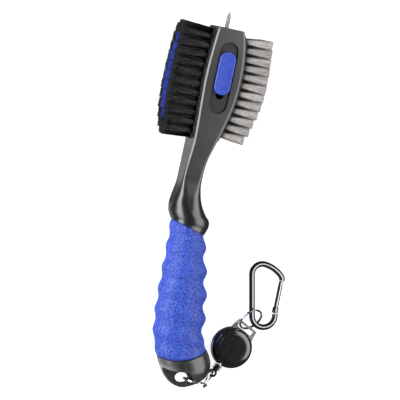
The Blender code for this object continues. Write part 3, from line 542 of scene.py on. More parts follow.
def section(left, right, half, corner, sag=0.0, steps=12, flat=6, grow=0.0):
    """A ring round the handle from its left point to its right point.

    Its corners are quarter ellipses, with flat points along each straight between them.
    """
    left, right = Vector((*left, 0.0)), Vector((*right, 0.0))
    middle, across = (left + right) / 2, (right - left) / 2
    wide = across.length + grow
    across.normalize()
    half += grow
    round_x, round_z = min(corner, wide), min(corner, half)
    corners = []
    for quarter in range(4):
        sign_x = 1 if quarter in (0, 3) else -1
        sign_z = 1 if quarter in (0, 1) else -1
        for n in range(steps + 1):
            angle = math.radians(90 * (quarter + n / steps))
            corners.append((sign_x * (wide - round_x) + round_x * math.cos(angle),
                            sign_z * (half - round_z) + round_z * math.sin(angle)))
        if flat:
            x, z = corners[-1]
            next_x = -x if quarter in (0, 2) else x
            next_z = z if quarter in (0, 2) else -z
            for n in range(1, flat):
                t = n / flat
                corners.append((x + (next_x - x) * t, z + (next_z - z) * t))
    ring = []
    for x, z in corners:
        point = middle + across * x
        ring.append(Vector((point.x, point.y - sag * z * z, z)))
    return ring


def arc(centre, radius, start, end, steps):
    """Points along an arc, with its angles in degrees."""
    points = []
    across, up = radius if isinstance(radius, tuple) else (radius, radius)
    for n in range(steps + 1):
        angle = math.radians(start + (end - start) * n / steps)
        points.append((centre[0] + across * math.cos(angle), centre[1] + up * math.sin(angle)))
    return points


def whole(centre, radius, sides):
    """A closed round or oval outline."""
    return arc(centre, radius, 0, 360 - 360 / sides, sides - 1)


def stadium(x, y, wide, long, steps=24):
    """A slot outline with round ends, standing along Y."""
    radius = wide / 2
    reach = long / 2 - radius
    return (
        arc((x, y + reach), radius, 0, 180, steps)
        + arc((x, y - reach), radius, 180, 360, steps)
    )


def stack(levels):
    """A solid through flat outlines at heights: (outline, z) pairs."""
    return tidy(skinned([[(x, y, z) for x, y in outline] for outline, z in levels]))


def slab(outline, low, high):
    """A flat outline made solid between two heights."""
    return stack([(outline, low), (outline, high)])


def turned(profile, segments=96):
    """Turn a closed outline of (radius, height) points about Z."""
    rings = [[(r * math.cos(angle), r * math.sin(angle), z) for r, z in profile]
             for angle in angles(segments)]
    return tidy(skinned(rings, closed=True))


def rounded(profile, radius=0.2, steps=3):
    """Round every corner of a closed outline with a short curve."""
    points = [Vector(point) for point in profile]
    made = []
    for n, here in enumerate(points):
        before, after = points[n - 1], points[(n + 1) % len(points)]
        if here.x == 0.0:
            made.append(tuple(here))
            continue
        reach_in = min(radius, (here - before).length * 0.45)
        reach_out = min(radius, (after - here).length * 0.45)
        start = here + (before - here).normalized() * reach_in
        end = here + (after - here).normalized() * reach_out
        for k in range(steps + 1):
            t = k / steps
            made.append(tuple(start * (1 - t) ** 2 + here * 2 * t * (1 - t) + end * t * t))
    return made


def rod(levels, segments=32):
    """A solid turned rod along Z, through (radius, height) levels."""
    return stack([(whole((0.0, 0.0), max(r, 0.01), segments), z) for r, z in levels])


def domed(radius, low, high, dome=0.2, segments=32):
    """A rod along Z with rounded rims."""
    rim = [(radius - dome * (1 - math.sin(a)), dome * (1 - math.cos(a)))
           for a in (0.0, 0.5, 1.0, math.pi / 2)]
    levels = [(r, low + rise) for r, rise in rim] + [(r, high - rise) for r, rise in reversed(rim)]
    return rod(levels, segments)


def tube(points, radius, sides=16, closed=False):
    """A round bar along a list of points."""
    points = [Vector(point) for point in points]
    count = len(points)
    rings = []
    normal = None
    for n, point in enumerate(points):
        if closed:
            ahead = points[(n + 1) % count] - points[n - 1]
        else:
            ahead = points[min(n + 1, count - 1)] - points[max(n - 1, 0)]
        ahead.normalize()
        if normal is None:
            normal = Vector((0, 0, 1)) if abs(ahead.z) < 0.9 else Vector((1, 0, 0))
        normal = (normal - ahead * normal.dot(ahead)).normalized()
        side = ahead.cross(normal)
        rings.append([point + radius * (normal * math.cos(angle) + side * math.sin(angle))
                      for angle in angles(sides)])
    return skinned(rings, closed)


def circle(centre, normal, radius, steps=48):
    """Points round a circle in space."""
    first, second = plane_of(normal)
    return [Vector(centre) + (first * math.cos(angle) + second * math.sin(angle)) * radius
            for angle in angles(steps)]


def plane_of(normal):
    """Two directions at right angles in the plane across a normal."""
    normal = Vector(normal).normalized()
    guess = Vector((0, 0, 1)) if abs(normal.z) < 0.9 else Vector((1, 0, 0))
    first = (guess - normal * guess.dot(normal)).normalized()
    return first, normal.cross(first)


def along(bm, way, place=(0.0, 0.0, 0.0)):
    """Lay a shape made along Z along another direction, and move it."""
    turn = Vector((0, 0, 1)).rotation_difference(Vector(way))
    bmesh.ops.rotate(bm, matrix=turn.to_matrix(), verts=bm.verts)
    bmesh.ops.translate(bm, vec=place, verts=bm.verts)
    return bm


def shaped(name, bm, finish=None, smooth=35.0, tilt=None):
    """An object from a shape in millimetres, placed in the row's frame."""
    if tilt is not None:
        bmesh.ops.transform(bm, matrix=tilt, verts=bm.verts)
    bmesh.ops.scale(bm, vec=(MM, MM, MM), verts=bm.verts)
    bmesh.ops.translate(bm, vec=ORIGIN, verts=bm.verts)
    bmesh.ops.recalc_face_normals(bm, faces=bm.faces)
    mesh = bpy.data.meshes.new(name)
    bm.to_mesh(mesh)
    bm.free()
    mesh.shade_smooth()
    mesh.set_sharp_from_angle(angle=math.radians(smooth))
    made = add_object(name, mesh)
    if finish is not None:
        mesh.materials.append(finish)
    return made


def carved(target, steps, smooth=35.0, tilt=None):
    """Take shapes out of an object, or join them on, and keep the finished mesh."""
    tools = []
    for n, (operation, bm) in enumerate(steps):
        tool = shaped(f"tool_{n}", bm, None, smooth, tilt)
        change = target.modifiers.new(tool.name, "BOOLEAN")
        change.operation = operation
        change.object = tool
        tools.append(tool)
    graph = bpy.context.evaluated_depsgraph_get()
    mesh = bpy.data.meshes.new_from_object(target.evaluated_get(graph))
    target.modifiers.clear()
    old, target.data = target.data, mesh
    bpy.data.meshes.remove(old)
    mesh.shade_smooth()
    mesh.set_sharp_from_angle(angle=math.radians(smooth))
    for tool in tools:
        bpy.data.meshes.remove(tool.data)
    weigh = target.modifiers.new("even_normals", "WEIGHTED_NORMAL")
    weigh.keep_sharp = True
    return target


def settle(made, body, slot, *nodes):
    """Put a piece on the body that it rides on and hide the CAD nodes that it stands for; slot is
    not used.
    """
    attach(made, body)
    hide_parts(*nodes)
    return made


def piece(name, bm, finish, body, slot, node, smooth=40.0, tilt=None, steps=()):
    """A whole piece: its shape, any carving, and what it stands for."""
    made = shaped(name, bm, finish, smooth, tilt)
    if steps:
        carved(made, steps, smooth, tilt)
    return settle(made, body, slot, node)


# ---- handle --------------------------------------------------------------------------

LEFT_EDGE = [
    (HEAD_TOP, -9.3), (256, -10.5), (235, -11.4), (215, -10.8), (198, -10.0),
    (182, -9.5), (166, -10.2), (157, -10.6), (150, -11.0), (144, -12.0),
]
RIGHT_EDGE = [
    (HEAD_TOP, 10.7), (264, 12.9), (256, 14.4), (246, 15.6), (235, 16.0), (225, 15.7),
    (215, 14.8), (206, 13.0), (198, 11.2), (190, 9.2), (182, 7.1), (174, 5.2),
    (166, 4.3), (157, 4.4), (150, 5.0), (144, 6.4),
]
HALF_DEPTH = [(HEAD_TOP, 15.0), (192, 15.0), (182, 14.3), (166, 11.7), (158, 10.9),
              (152, 10.9), (146, 12.8), (144, 13.3)]
CORNER = [(HEAD_TOP, 1.2), (190, 1.4), (166, 2.2), (157, 2.8), (150, 4.0), (144, 6.5)]

NECK_LOW = 144.0
BEVEL_FADE = (148.0, 178.0)                # the Y between which the head's bevels fade in

# left point, right point, half depth, corner radius, sag
SHOULDER = [
    ((-13.3, 137.8), (9.3, 137.2), 14.0, 9.0, 0.0),
    ((-14.2, 133.3), (14.0, 131.0), 14.2, 13.0, 0.0),
    ((-13.9, 129.9), (18.2, 126.6), 14.6, 16.0, 0.0),
    ((-12.7, 126.9), (19.0, 122.4), 14.4, 17.0, 0.0),
    ((-11.4, 124.7), (17.9, 118.4), 13.9, 17.0, 0.0),
    (*GRIP_TOP, 14.2, 17.0, 0.0),
]
CORE = [
    ((-6.6, 122.1), (13.0, 116.5), 10.2, 17.0, 0.0),
    ((-6.0, 100.0), (16.5, 98.5), 10.6, 17.0, 0.0),
    ((-5.0, 60.0), (25.0, 60.0), 10.8, 17.0, 0.0),
    ((-1.5, 37.0), (29.8, 39.0), 10.8, 17.0, 0.01),
    ((5.0, 20.27), (34.2, 29.71), 10.6, 17.0, GRIP_SAG),
]
BUTT = [
    (*GRIP_END, 14.6, 17.0, GRIP_SAG),
    ((3.1, 16.6), (41.4, 26.2), 14.7, 17.0, 0.0175),
    ((4.8, 13.6), (43.4, 21.0), 14.7, 17.0, 0.0135),
    ((6.8, 10.4), (43.6, 15.8), 14.4, 17.0, 0.009),
    ((9.1, 7.4), (42.2, 11.2), 13.3, 17.0, 0.006),
    ((11.8, 4.6), (39.2, 7.4), 11.0, 17.0, 0.004),
    ((14.8, 2.3), (35.6, 4.4), 8.3, 17.0, 0.0),
    ((18.6, 0.6), (31.2, 1.8), 5.3, 17.0, 0.0),
    ((22.0, -0.3), (27.6, 0.2), 2.6, 17.0, 0.0),
]
FACET = [
    (-2.0, 13.4), (6.0, 12.5), (11.5, 11.8), (18.0, 12.2), (26.6, 12.9), (35.6, 3.2),
    (37.0, -4.0), (-2.0, -4.0),
]


def left_edge(y):
    """X of the head's and the neck's left edge."""
    return smooth_read(LEFT_EDGE, y)


def right_edge(y):
    """X of the head's and the neck's right edge."""
    return smooth_read(RIGHT_EDGE, y)


def head_station(y):
    half = min(smooth_read(HALF_DEPTH, y), HEAD_HALF)
    return (left_edge(y), y), (right_edge(y), y), half, smooth_read(CORNER, y), 0.0


def eased(stations, steps):
    """Stations on smooth curves through the given ones, with steps between each pair."""
    flat = [(*left, *right, half, corner, sag) for left, right, half, corner, sag in stations]
    count = len(flat)
    made = []
    for n in range((count - 1) * steps + 1):
        at = n / steps
        row = [smooth_read([(k, flat[k][part]) for k in range(count)], at) for part in range(7)]
        made.append((row[0:2], row[2:4], row[4], row[5], row[6]))
    return made


def plate_half(field, y):
    """Half the width of a bristle plate at a height, inside its rounded corners."""
    low, high, half, corner = field
    inside = min(y - low, high - y)
    if inside >= corner:
        return half
    rest = corner - max(inside, 0.0)
    return half - corner + math.sqrt(max(corner**2 - rest**2, 0.0))


def plate(field, inner, outer, grow=0.0, edge=0.0, rows=70):
    """A bristle plate, or with grow the recess for it, between two X edges."""
    low, high, half, corner = field
    field = (low - grow, high + grow, half + grow, corner + grow)
    low, high = field[0], field[1]
    rings = []
    for n in range(rows + 1):
        y = (low + high) / 2 - (high - low) / 2 * math.cos(math.pi * (n + 0.4) / (rows + 0.8))
        z = plate_half(field, y)
        a, b = inner(y), outer(y)
        sign = 1 if b > a else -1
        soft = min(edge, z * 0.5)
        ring = [(a, y, -z), (b - sign * soft, y, -z), (b - sign * soft * 0.3, y, -z + soft * 0.3)]
        ring += [(b, y, -z + soft), (b, y, z - soft), (b - sign * soft * 0.3, y, z - soft * 0.3)]
        ring += [(b - sign * soft, y, z), (a, y, z)]
        rings.append(ring)
    return tidy(skinned(rings))


def head_ring(y, inset=0.0):
    """A ring round the head or the neck: bevels on its edges, fading into round corners."""
    left, right, half, corner, _ = head_station(y)
    left, right = (left[0] + inset, y), (right[0] - inset, y)
    half -= inset
    ring = section(left, right, half, corner)
    share = eased_share(y, *BEVEL_FADE)
    curve, knee = 0.986, 0.55
    made = []
    for n, point in enumerate(ring):
        quarter, place = divmod(n, len(ring) // 4)
        if place > 12:
            made.append(point)
            continue
        across, drop = ((right[0], 1.5), (left[0], 1.25))[quarter in (1, 2)]
        lean = (0.8, 0.82)[quarter in (1, 2)]
        sign_x = 1 if quarter in (0, 3) else -1
        sign_z = 1 if quarter in (0, 1) else -1
        side = Vector((across, y, sign_z * (half - drop * lean)))
        face = Vector((across - sign_x * drop, y, sign_z * half))
        start, end = (side, face) if quarter in (0, 2) else (face, side)
        middle = (place - 1.5) / 9
        if place < 2 or place > 10:
            edge = start if place < 2 else end
            back = 0.12 * (1.5 - place if place < 2 else place - 10.5) / 1.5
            step = Vector((0, 0, -sign_z)) if edge is side else Vector((-sign_x, 0, 0))
            bevelled = edge + step * back
        elif quarter in (0, 3):
            part = middle if quarter == 0 else 1 - middle
            if part < knee:
                turn = math.radians(90 - 73 * part / knee)
                out, rise = curve * math.sin(turn), curve * math.cos(turn)
                bevelled = Vector((across - curve + out, y, sign_z * (half - 1.18 + rise)))
            else:
                part = (part - knee) / (1 - knee)
                bevelled = Vector((across - 0.7 - 0.8 * part, y,
                                   sign_z * (half - 0.24 * (1 - part))))
        else:
            bevelled = start + (end - start) * middle
        made.append(point + (bevelled - point) * share)
    return made


def make_handle(looks):
    """The moulded handle: head, neck, collar, the core inside the grip, and the butt."""
    rings = []
    rim = 1.0
    top = [(HEAD_TOP - rim * (1 - math.cos(a)), rim * (1 - math.sin(a)))
           for a in (0.0, 0.4, 0.8, 1.2)]
    for y, inset in top:
        rings.append(head_ring(y, inset))
    low = NECK_LOW
    rows = 90
    first = HEAD_TOP - rim
    for n in range(rows):
        rings.append(head_ring(first + (low - first) * n / rows))
    neck = [head_station(y) for y in (150.0, low)]
    joined = eased(neck + SHOULDER, 8)[8:]
    rings += [section(*station) for station in joined]
    rings += [section(*station) for station in CORE]
    rings += [section(*station) for station in eased(BUTT, 8)]
    handle = shaped("handle", tidy(skinned(rings)), looks["body"], 30.0)

    wire_floor = WIRE_PLATE_DEEP + GAP
    left, right, low, high, deep = CAVITY
    cavity = [(left, low), (right, low), (right, high), (left, high)]
    wide, long = TRACK_SIZE
    floor = HEAD_HALF - TRACK_DEEP - 0.2
    track = [(stadium(BUTTON_X, TRACK_Y, wide, long), floor - 1.6),
             (stadium(BUTTON_X, TRACK_Y, wide, long), HEAD_HALF - 0.05),
             (stadium(BUTTON_X, TRACK_Y, wide + 0.2, long + 0.2), HEAD_HALF + 0.1)]
    bed = stadium(BUTTON_X - 1.1, TRACK_Y, wide, long - 1.6)
    wide, long = STEM_SIZE
    slot = stadium(BUTTON_X, BUTTON_Y - SPIKE_TRAVEL / 2, wide + 0.8, long + SPIKE_TRAVEL + 0.8)
    wall = BUSH_RADIUS + GAP
    steps = [
        ("DIFFERENCE", plate(NYLON_FIELD, lambda y: -20.0, lambda y: NYLON_SEAT_X, GAP)),
        ("DIFFERENCE", plate(WIRE_FIELD, lambda y: right_edge(y) - wire_floor, lambda y: 30.0, GAP)),
        ("DIFFERENCE", slab(cavity, -deep, deep)),
        ("DIFFERENCE", stack(track)),
        ("UNION", slab(bed, floor - 2.4, floor)),
        ("DIFFERENCE", slab(slot, deep - 0.5, 16.0)),
        ("DIFFERENCE", along(rod([(wall, high - 0.5), (wall, HEAD_TOP + 1.0)]), (0, 1, 0))),
    ]
    for low, high in ((WEB_HALF, 20.0), (-20.0, -WEB_HALF)):
        steps.append(("DIFFERENCE", slab(soft_outline(FACET), low, high)))
    flare = ((-6.0, 1.8), (-4.0, 0.5), (-3.5, 0.12), (-3.0, 0.0), (3.0, 0.0), (3.5, 0.12),
             (4.0, 0.5), (6.0, 1.8))
    hole = [(whole(HOLE_CENTRE, (HOLE_HALF[0] + out, HOLE_HALF[1] + out), 48), z)
            for z, out in flare]
    steps.append(("DIFFERENCE", stack(hole)))
    carved(handle, steps, 30.0)
    # painted shade: the flat floors of the track and of the web take the darker plastic
    handle.data.materials.append(looks["track"])
    for face in handle.data.polygons:
        height = (face.center.z - ORIGIN.z) / MM
        if min(abs(height - floor), abs(height - WEB_HALF)) < 0.02 and face.normal.z > 0.99:
            face.material_index = 1
    settle(handle, "brush", "body", "brush_body")


def soft_outline(points, steps=8):
    """A closed outline whose own corners stay, on a curve between them."""
    count = len(points)
    made = []
    for n in range((count - 4) * steps + 1):
        at = n / steps
        made.append((smooth_read([(k, points[k][0]) for k in range(count - 3)], at),
                     smooth_read([(k, points[k][1]) for k in range(count - 3)], at)))
    return made + [tuple(point) for point in points[-3:]]


# ---- grip ----------------------------------------------------------------------------

def grip_station(t):
    """The grip's outline without its finger waves, from its top, t=0, to its end, t=1."""
    left_y = GRIP_TOP[0][1] + (GRIP_END[0][1] - GRIP_TOP[0][1]) * t
    right_y = GRIP_TOP[1][1] + (GRIP_END[1][1] - GRIP_TOP[1][1]) * t
    left_x = smooth_read(
        [(0, -9.9), (0.19, -8.9), (0.38, -8.4), (0.56, -7.7), (0.73, -6.3), (0.87, -3.8),
         (0.94, -1.0), (1, 1.7)], t)
    right_x = smooth_read(
        [(0, 16.9), (0.12, 19.6), (0.32, 24.0), (0.53, 27.9), (0.75, 31.0), (0.88, 32.9),
         (0.95, 34.4), (1, 38.2)], t)
    half = smooth_read([(0, 14.1), (0.15, 14.5), (0.8, 14.6), (1, 14.4)], t)
    return (left_x, left_y), (right_x, right_y), half


def pebble(point):
    """Leather grain from 0 to 1: rounded cells, drawn out along slanting folds."""
    slant = 0.35 * point.y
    spot = Vector(((point.x + slant) * 0.80, (point.y - 0.5 * point.x) * 0.62, point.z * 0.80))
    spot += Vector((noise.noise(spot), noise.noise(spot + Vector((7, 3, 1))), 0)) * 0.6
    near = noise.voronoi(spot, distance_metric="DISTANCE", exponent=2.5)[0]
    return math.sin(min((near[1] - near[0]) / 0.5, 1.0) * math.pi / 2)


def grip_ring(t, steps):
    """One ring of the grip's outer surface with its finger waves, and the grain on it."""
    left, right, half = grip_station(t)
    sag = GRIP_SAG * max(0.0, (t - 0.7) / 0.3) ** 2
    ring = section(left, right, half, 17.0, sag, steps, 14)
    middle_x, middle_y = (left[0] + right[0]) / 2, (left[1] + right[1]) / 2
    edge = min(t, 1 - t)
    ease = 0.05 if t < 0.5 else 0.11
    fade = math.sin(math.pi * edge / (2 * ease)) if edge < ease else 1.0
    lip = 0.5 * (1 - math.sqrt(max(0.0, 1 - (1 - min(edge / 0.006, 1.0)) ** 2)))
    waved, grain = [], []
    for point in ring:
        side = (point.x - middle_x) / (right[0] - middle_x)
        phase = (point.y - FINGER_PEAK - 2.45 * side) / (FINGER_PITCH + 0.95 * side)
        out = Vector((point.x - middle_x, point.y - middle_y, point.z)).normalized()
        reach = 0.35 + 1.15 * max(out.x, 0.0) ** 2 + 0.45 * max(-out.x, 0.0) ** 2
        rise = reach * fade * math.cos(2 * math.pi * phase)
        crown = pebble(point) * min(edge / 0.02, 1.0)
        fold = noise.noise(Vector((point.x * 0.3 + point.y * 0.2, point.y * 0.3, point.z * 0.3)))
        waved.append(point + out * (rise + 0.42 * crown + 0.12 * fold - 0.32 - lip))
        grain.append(crown)
    return waved, grain


def make_grip(looks):
    """The soft grip, a sleeve over the handle's core."""
    rows, steps = ((286, 60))
    outer = [grip_ring(0.003 + 0.992 * n / rows, steps) for n in range(rows + 1)]
    inner = [section(*station, steps=steps, flat=14, grow=GAP) for station in reversed(CORE)]
    bm = bmesh.new()
    crowns = bm.verts.layers.float.new("crown")
    placed = skin(bm, [ring for ring, _ in outer] + inner, closed=True)
    for row, (_, grain) in zip(placed, outer):
        for vertex, crown in zip(row, grain):
            vertex[crowns] = crown
    piece("grip", tidy(bm), looks["grip"], "brush", "grip", "grip_sleeve", 60.0)


# ---- bristles ------------------------------------------------------------------------

def nylon_face(y):
    return left_edge(y) - PLATE_PROUD


def wire_face(y):
    return right_edge(y) + PLATE_PROUD


def nylon_tip(y):
    """X of the nylon's trimmed face."""
    reach = (y - TUFT_MIDDLE) / 44.0
    return -37.0 + (2.3 if reach > 0 else 5.0) * reach**2


def wire_tip(y):
    """X of the wire's trimmed face, which falls away further below its peak than above it."""
    peak_x, peak_y = 36.7, 236.0
    if y > peak_y:
        return peak_x - 3.2 * ((y - peak_y) / 33.0) ** 2
    return peak_x - 10.4 * ((peak_y - y) / 49.0) ** 2.2


def nylon_rim_spots(count, radius, start=0.0):
    """Places round the oval rim of the nylon field, a step apart along it."""
    low, high, half, _ = NYLON_FIELD
    middle, reach = (low + high) / 2, (high - low) / 2 - half + 0.3
    around = 4 * reach + 2 * math.pi * radius
    spots = []
    for n in range(count):
        at = around * (n + start) / count
        if at < 2 * reach:
            spot = (middle - reach + at, radius, 0.0)
        elif at < 2 * reach + math.pi * radius:
            turn = (at - 2 * reach) / radius
            spot = (middle + reach + radius * math.sin(turn), radius * math.cos(turn),
                    -math.degrees(turn))
        elif at < 4 * reach + math.pi * radius:
            spot = (middle + reach - (at - 2 * reach - math.pi * radius), -radius, 180.0)
        else:
            turn = (at - 4 * reach - math.pi * radius) / radius
            spot = (middle - reach - radius * math.sin(turn), -radius * math.cos(turn),
                    180.0 - math.degrees(turn))
        spots.append((*spot, 2.3, 1.4))
    return spots


def bristle_faces(first, levels):
    """The faces of one three-sided bristle, whose points start at number first."""
    last = first + 3 * (levels - 1)
    faces = []
    for low in range(first, last, 3):
        for k in range(3):
            m = (k + 1) % 3
            faces.append((low + k, low + m, low + 3 + m, low + 3 + k))
    return faces + [(first + 2, first + 1, first), (last, last + 1, last + 2)]


def bristle_piece(name, spots, shape, strand, finish, body_slot, node, seed):
    """Tufts of single bristles that stand in a plate and fan out to a trimmed face.

    spots are (Y, Z, turn in degrees, half length, half width) of each tuft. shape is (face,
    tip, spread along Y, spread along Z, tuft growth, share of the height over which it fans
    out, how wide its root is, (the painted shade between the tufts, the share of the height
    that lies in it)). strand is (bristles in a tuft, radius, crimp, unevenness of the tips,
    rings of points along each, painted shade of the tips). Each point stores a random tone
    times painted shade: at the roots, at the edges of each tuft, deep between the inner tufts
    and at the tips.
    """
    face, tip, spread_y, spread_z, grow, fan, packed, (deep, buried) = shape
    count, radius, crimp, uneven, levels, tip_shade = strand
    out = 1 if tip(TUFT_MIDDLE) > 0 else -1
    chance = random.Random(seed)
    golden = math.pi * (3 - math.sqrt(5))
    corners, faces, tone_and_painted_shade = [], [], []
    for y, z, turn, long, wide in spots:
        lit = share_of(abs(z), 5.5, 8.5)
        tuft_tone = chance.uniform(0.86, 1.08)
        tuft_end = chance.uniform(-1.3, 1.3) * uneven
        ahead = Vector((math.cos(math.radians(turn)), math.sin(math.radians(turn))))
        side = Vector((-ahead.y, ahead.x))
        tip_y, tip_z = TUFT_MIDDLE + (y - TUFT_MIDDLE) * spread_y, z * spread_z
        for n in range(count):
            reach = math.sqrt((n + 0.5) / count)
            angle = n * golden + chance.uniform(-0.1, 0.1)
            a, b = reach * math.cos(angle), reach * math.sin(angle)
            square = 1.0 / max(abs(math.cos(angle)), abs(math.sin(angle)))
            inside = ahead * (a * long * packed) + side * (b * wide * 0.8)
            root = Vector((y, z)) + inside
            fanned = ahead * (a * square * long * grow[0]) + side * (b * square * wide * grow[1])
            end = Vector((tip_y, tip_z)) + fanned
            end += Vector((chance.uniform(-1, 1), chance.uniform(-1, 1))) * radius * 0.7
            foot = face(root.x) - out * 0.6
            top = tip(tip_y) + tuft_end + chance.uniform(-uneven, uneven)
            # painted shade: strands at the edge of a tuft are darkened, as dark lines between the
            # tufts; the tones from chance are random
            rim = share_of(abs(a) * square, 0.7, 1.0)
            tone = tuft_tone * chance.uniform(0.75, 1.15) * (1 - 0.6 * rim)
            first = len(corners)
            bend = Vector((chance.uniform(-1, 1), chance.uniform(-1, 1))) * crimp
            phase = chance.uniform(0, math.pi)
            for level in range(levels):
                t = level / (levels - 1)
                wave = math.sin(phase + t * 14.0) * t
                opened = min(t / fan, 1.0)
                at = root + (end - root) * opened + bend * wave
                x = foot + (top - foot) * t
                thick = radius * (0.5 if level == levels - 1 else 1.0)
                # painted shade: outer rows darken towards their roots, inner rows lie deep in shade
                # low down between the tufts, and the last ring is darkened by tip_shade
                outer = 0.6 + 0.4 * min(t / 0.15, 1.0)
                inner = deep + (1 - deep) * share_of(t, buried, 0.95)
                value = tone * (outer * lit + inner * (1 - lit))
                value *= tip_shade if level == levels - 1 else 1.0
                tone_and_painted_shade += [value] * 3
                for k in range(3):
                    turn_k = 2 * math.pi * k / 3 + phase
                    corners.append((x, at.x + thick * math.cos(turn_k),
                                    at.y + thick * math.sin(turn_k)))
            faces += bristle_faces(first, levels)
    mesh = bpy.data.meshes.new(name)
    placed = [Vector(corner) * MM + ORIGIN for corner in corners]
    mesh.from_pydata(placed, [], faces if out > 0 else [list(reversed(f)) for f in faces])
    mesh.attributes.new("shade", "FLOAT", "POINT").data.foreach_set("value", tone_and_painted_shade)
    mesh.materials.append(finish)
    mesh.shade_smooth()
    mesh.set_sharp_from_angle(angle=math.radians(130))
    settle(add_object(name, mesh), "brush", body_slot, node)


def make_bristles(looks):
    """Both bristle plates and every tuft in them."""
    bm = plate(NYLON_FIELD, lambda y: NYLON_SEAT_X - GAP, nylon_face, edge=0.7)
    piece("nylon_plate_moulding", bm, looks["plate"], "brush", "body", "nylon_plate", 35.0)
    bm = plate(WIRE_FIELD, lambda y: right_edge(y) - WIRE_PLATE_DEEP, wire_face, edge=0.7)
    piece("wire_plate_moulding", bm, looks["plate"], "brush", "body", "wire_plate", 35.0)

    share = 1.0
    # the last numbers of each shape and strand are painted shade: between the tufts and at the tips
    shape = (nylon_face, nylon_tip, 1.01, 1.15, (1.5, 1.45), 1.0, 0.66, (0.03, 0.55))
    strand = (int(118 * share), 0.2, 0.12, 0.14, 6, 0.3)
    rim = nylon_rim_spots(26, 10.9) + nylon_rim_spots(24, 7.8, 0.5)
    bristle_piece("nylon_rim_bristles", rim, shape, strand, looks["nylon"],
                  "black_nylon", "nylon_rim_tufts", 3)
    shape = (nylon_face, lambda y: nylon_tip(y) - 0.2, 1.0, 1.4, (1.6, 2.0), 1.0, 0.7, (0.1, 0.3))
    strand = (*strand[:5], 0.85)
    middle, pitch = 228.1, 7.2
    for n, (z, low, count) in enumerate(((-3.2, 206.5, 7), (0.0, 199.3, 9), (3.2, 206.5, 7))):
        spots = []
        for k in range(count):
            y = low + pitch * k
            slim = 1 - 0.7 * abs((y - middle) / (4 * pitch)) ** 2
            spots.append((y, z * slim, 0.0, 2.3, 1.6 * slim))
        bristle_piece(f"nylon_centre_bristles_{n + 1}", spots, shape, strand,
                      looks["blue_nylon"], "blue_nylon", f"nylon_centre_tufts_{n + 1}", 11 + n)
    shape = (wire_face, wire_tip, 1.03, 1.25, (1.46, 1.48), 0.9, 0.84, (0.16, 0.3))
    strand = (int(200 * share), 0.18, 0.22, 0.22, 8, 0.9)
    pitch = 6.5
    for n, z in enumerate((-9.4, -4.7, 0.0, 4.7, 9.4)):
        first = 192.3 + pitch / 2 * (n % 2)
        spots = [(first + pitch * k, z, 0.0, 2.2, 1.7) for k in range(12 - n % 2)]
        bristle_piece(f"wire_bristles_{n + 1}", spots, shape, strand, looks["wire"],
                      "wire", f"wire_tufts_{n + 1}", 31 + n)


# ---- spike and button ----------------------------------------------------------------

def make_button(looks):
    """The thumb button: a raised rim round a pan with fine ridges across it."""
    wide, long = BUTTON_SIZE
    low = HEAD_HALF - TRACK_DEEP + GAP
    pan = BUTTON_TOP - 0.8
    profile = ((0.25, low), (0.0, low + 0.25), (0.0, BUTTON_TOP - 0.6), (0.18, BUTTON_TOP - 0.2),
               (0.55, BUTTON_TOP), (0.95, BUTTON_TOP - 0.05), (1.2, pan + 0.1), (1.5, pan))
    bm = stack([(stadium(BUTTON_X, BUTTON_Y, wide - 2 * inset, long - 2 * inset, 32), z)
                for inset, z in profile])
    pitch, ridges = 1.95, 14
    radius = wide / 2 - 1.35
    reach = long / 2 - wide / 2
    for n in range(ridges):
        y = BUTTON_Y + (n - (ridges - 1) / 2) * pitch
        beyond = max(abs(y - BUTTON_Y) - reach, 0.0)
        half = math.sqrt(max(radius**2 - beyond**2, 1.0))
        rings = []
        for x, swell in ((-half, 0.25), (-half + 0.3, 0.8), (-half + 0.8, 1.0),
                         (half - 0.8, 1.0), (half - 0.3, 0.8), (half, 0.25)):
            rings.append([(BUTTON_X + x, y + 0.55 * swell * math.cos(a),
                           pan - 0.12 + 0.75 * swell * math.sin(a))
                          for a in [math.pi * k / 8 for k in range(9)]])
        skin(bm, rings)
    wide, long = STEM_SIZE
    foot = stadium(BUTTON_X, BUTTON_Y, wide, long)
    skin(bm, [[(x, y, z) for x, y in foot] for z in (5.3, low + 0.2)])
    piece("thumb_button", bm, looks["button"], "spike", "button", "slide_button")


def make_spike(looks):
    """The groove spike: a steel rod with four twisted flutes and a sharp end."""
    rings = []
    foot, point, rows, sides = 238.4, 4.2, 190, 32
    pitch = 7.5
    for n in range(rows + 1):
        y = foot + (SPIKE_TIP - foot) * n / rows
        left = min((SPIKE_TIP - y) / point, 1.0)
        taper = max(left, 0.04)
        ring = []
        for angle in angles(sides):
            flute = abs(math.sin(2 * (angle - 2 * math.pi * y / pitch))) ** 1.5
            r = SPIKE_RADIUS * taper * (1.0 - 0.3 * (1.0 - flute))
            ring.append((r * math.cos(angle), y, r * math.sin(angle)))
        rings.append(ring)
    piece("groove_spike", skinned(rings), looks["steel"], "spike", "steel", "spike_pin", 50.0)


# ---- rings ---------------------------------------------------------------------------

def split_ring(name, centre, normal, radius, wire, finish, body, node, start=0.0):
    """A key ring: two turns of flat wire, side by side, with a crossing near its ends."""
    first, second = plane_of(normal)
    normal = Vector(normal).normalized()
    steps, crossing = 132, 0.8
    total = 4 * math.pi - crossing - 0.08
    half = wire / 2
    outline = [(wire * a, half * 0.94 * b) for a, b in
               ((1.0, 0.45), (0.8, 1.0), (-0.8, 1.0), (-1.0, 0.45), (-1.0, -0.45),
                (-0.8, -1.0), (0.8, -1.0), (1.0, -0.45))]
    rings = []
    for n in range(steps + 1):
        angle = total * n / steps
        lift = half * (2 * eased_share(angle, 2 * math.pi - crossing, 2 * math.pi) - 1)
        out = first * math.cos(angle + start) + second * math.sin(angle + start)
        rings.append([Vector(centre) + out * (radius + a) + normal * (lift + b)
                      for a, b in outline])
    piece(name, skinned(rings), finish, body, "chrome", node)


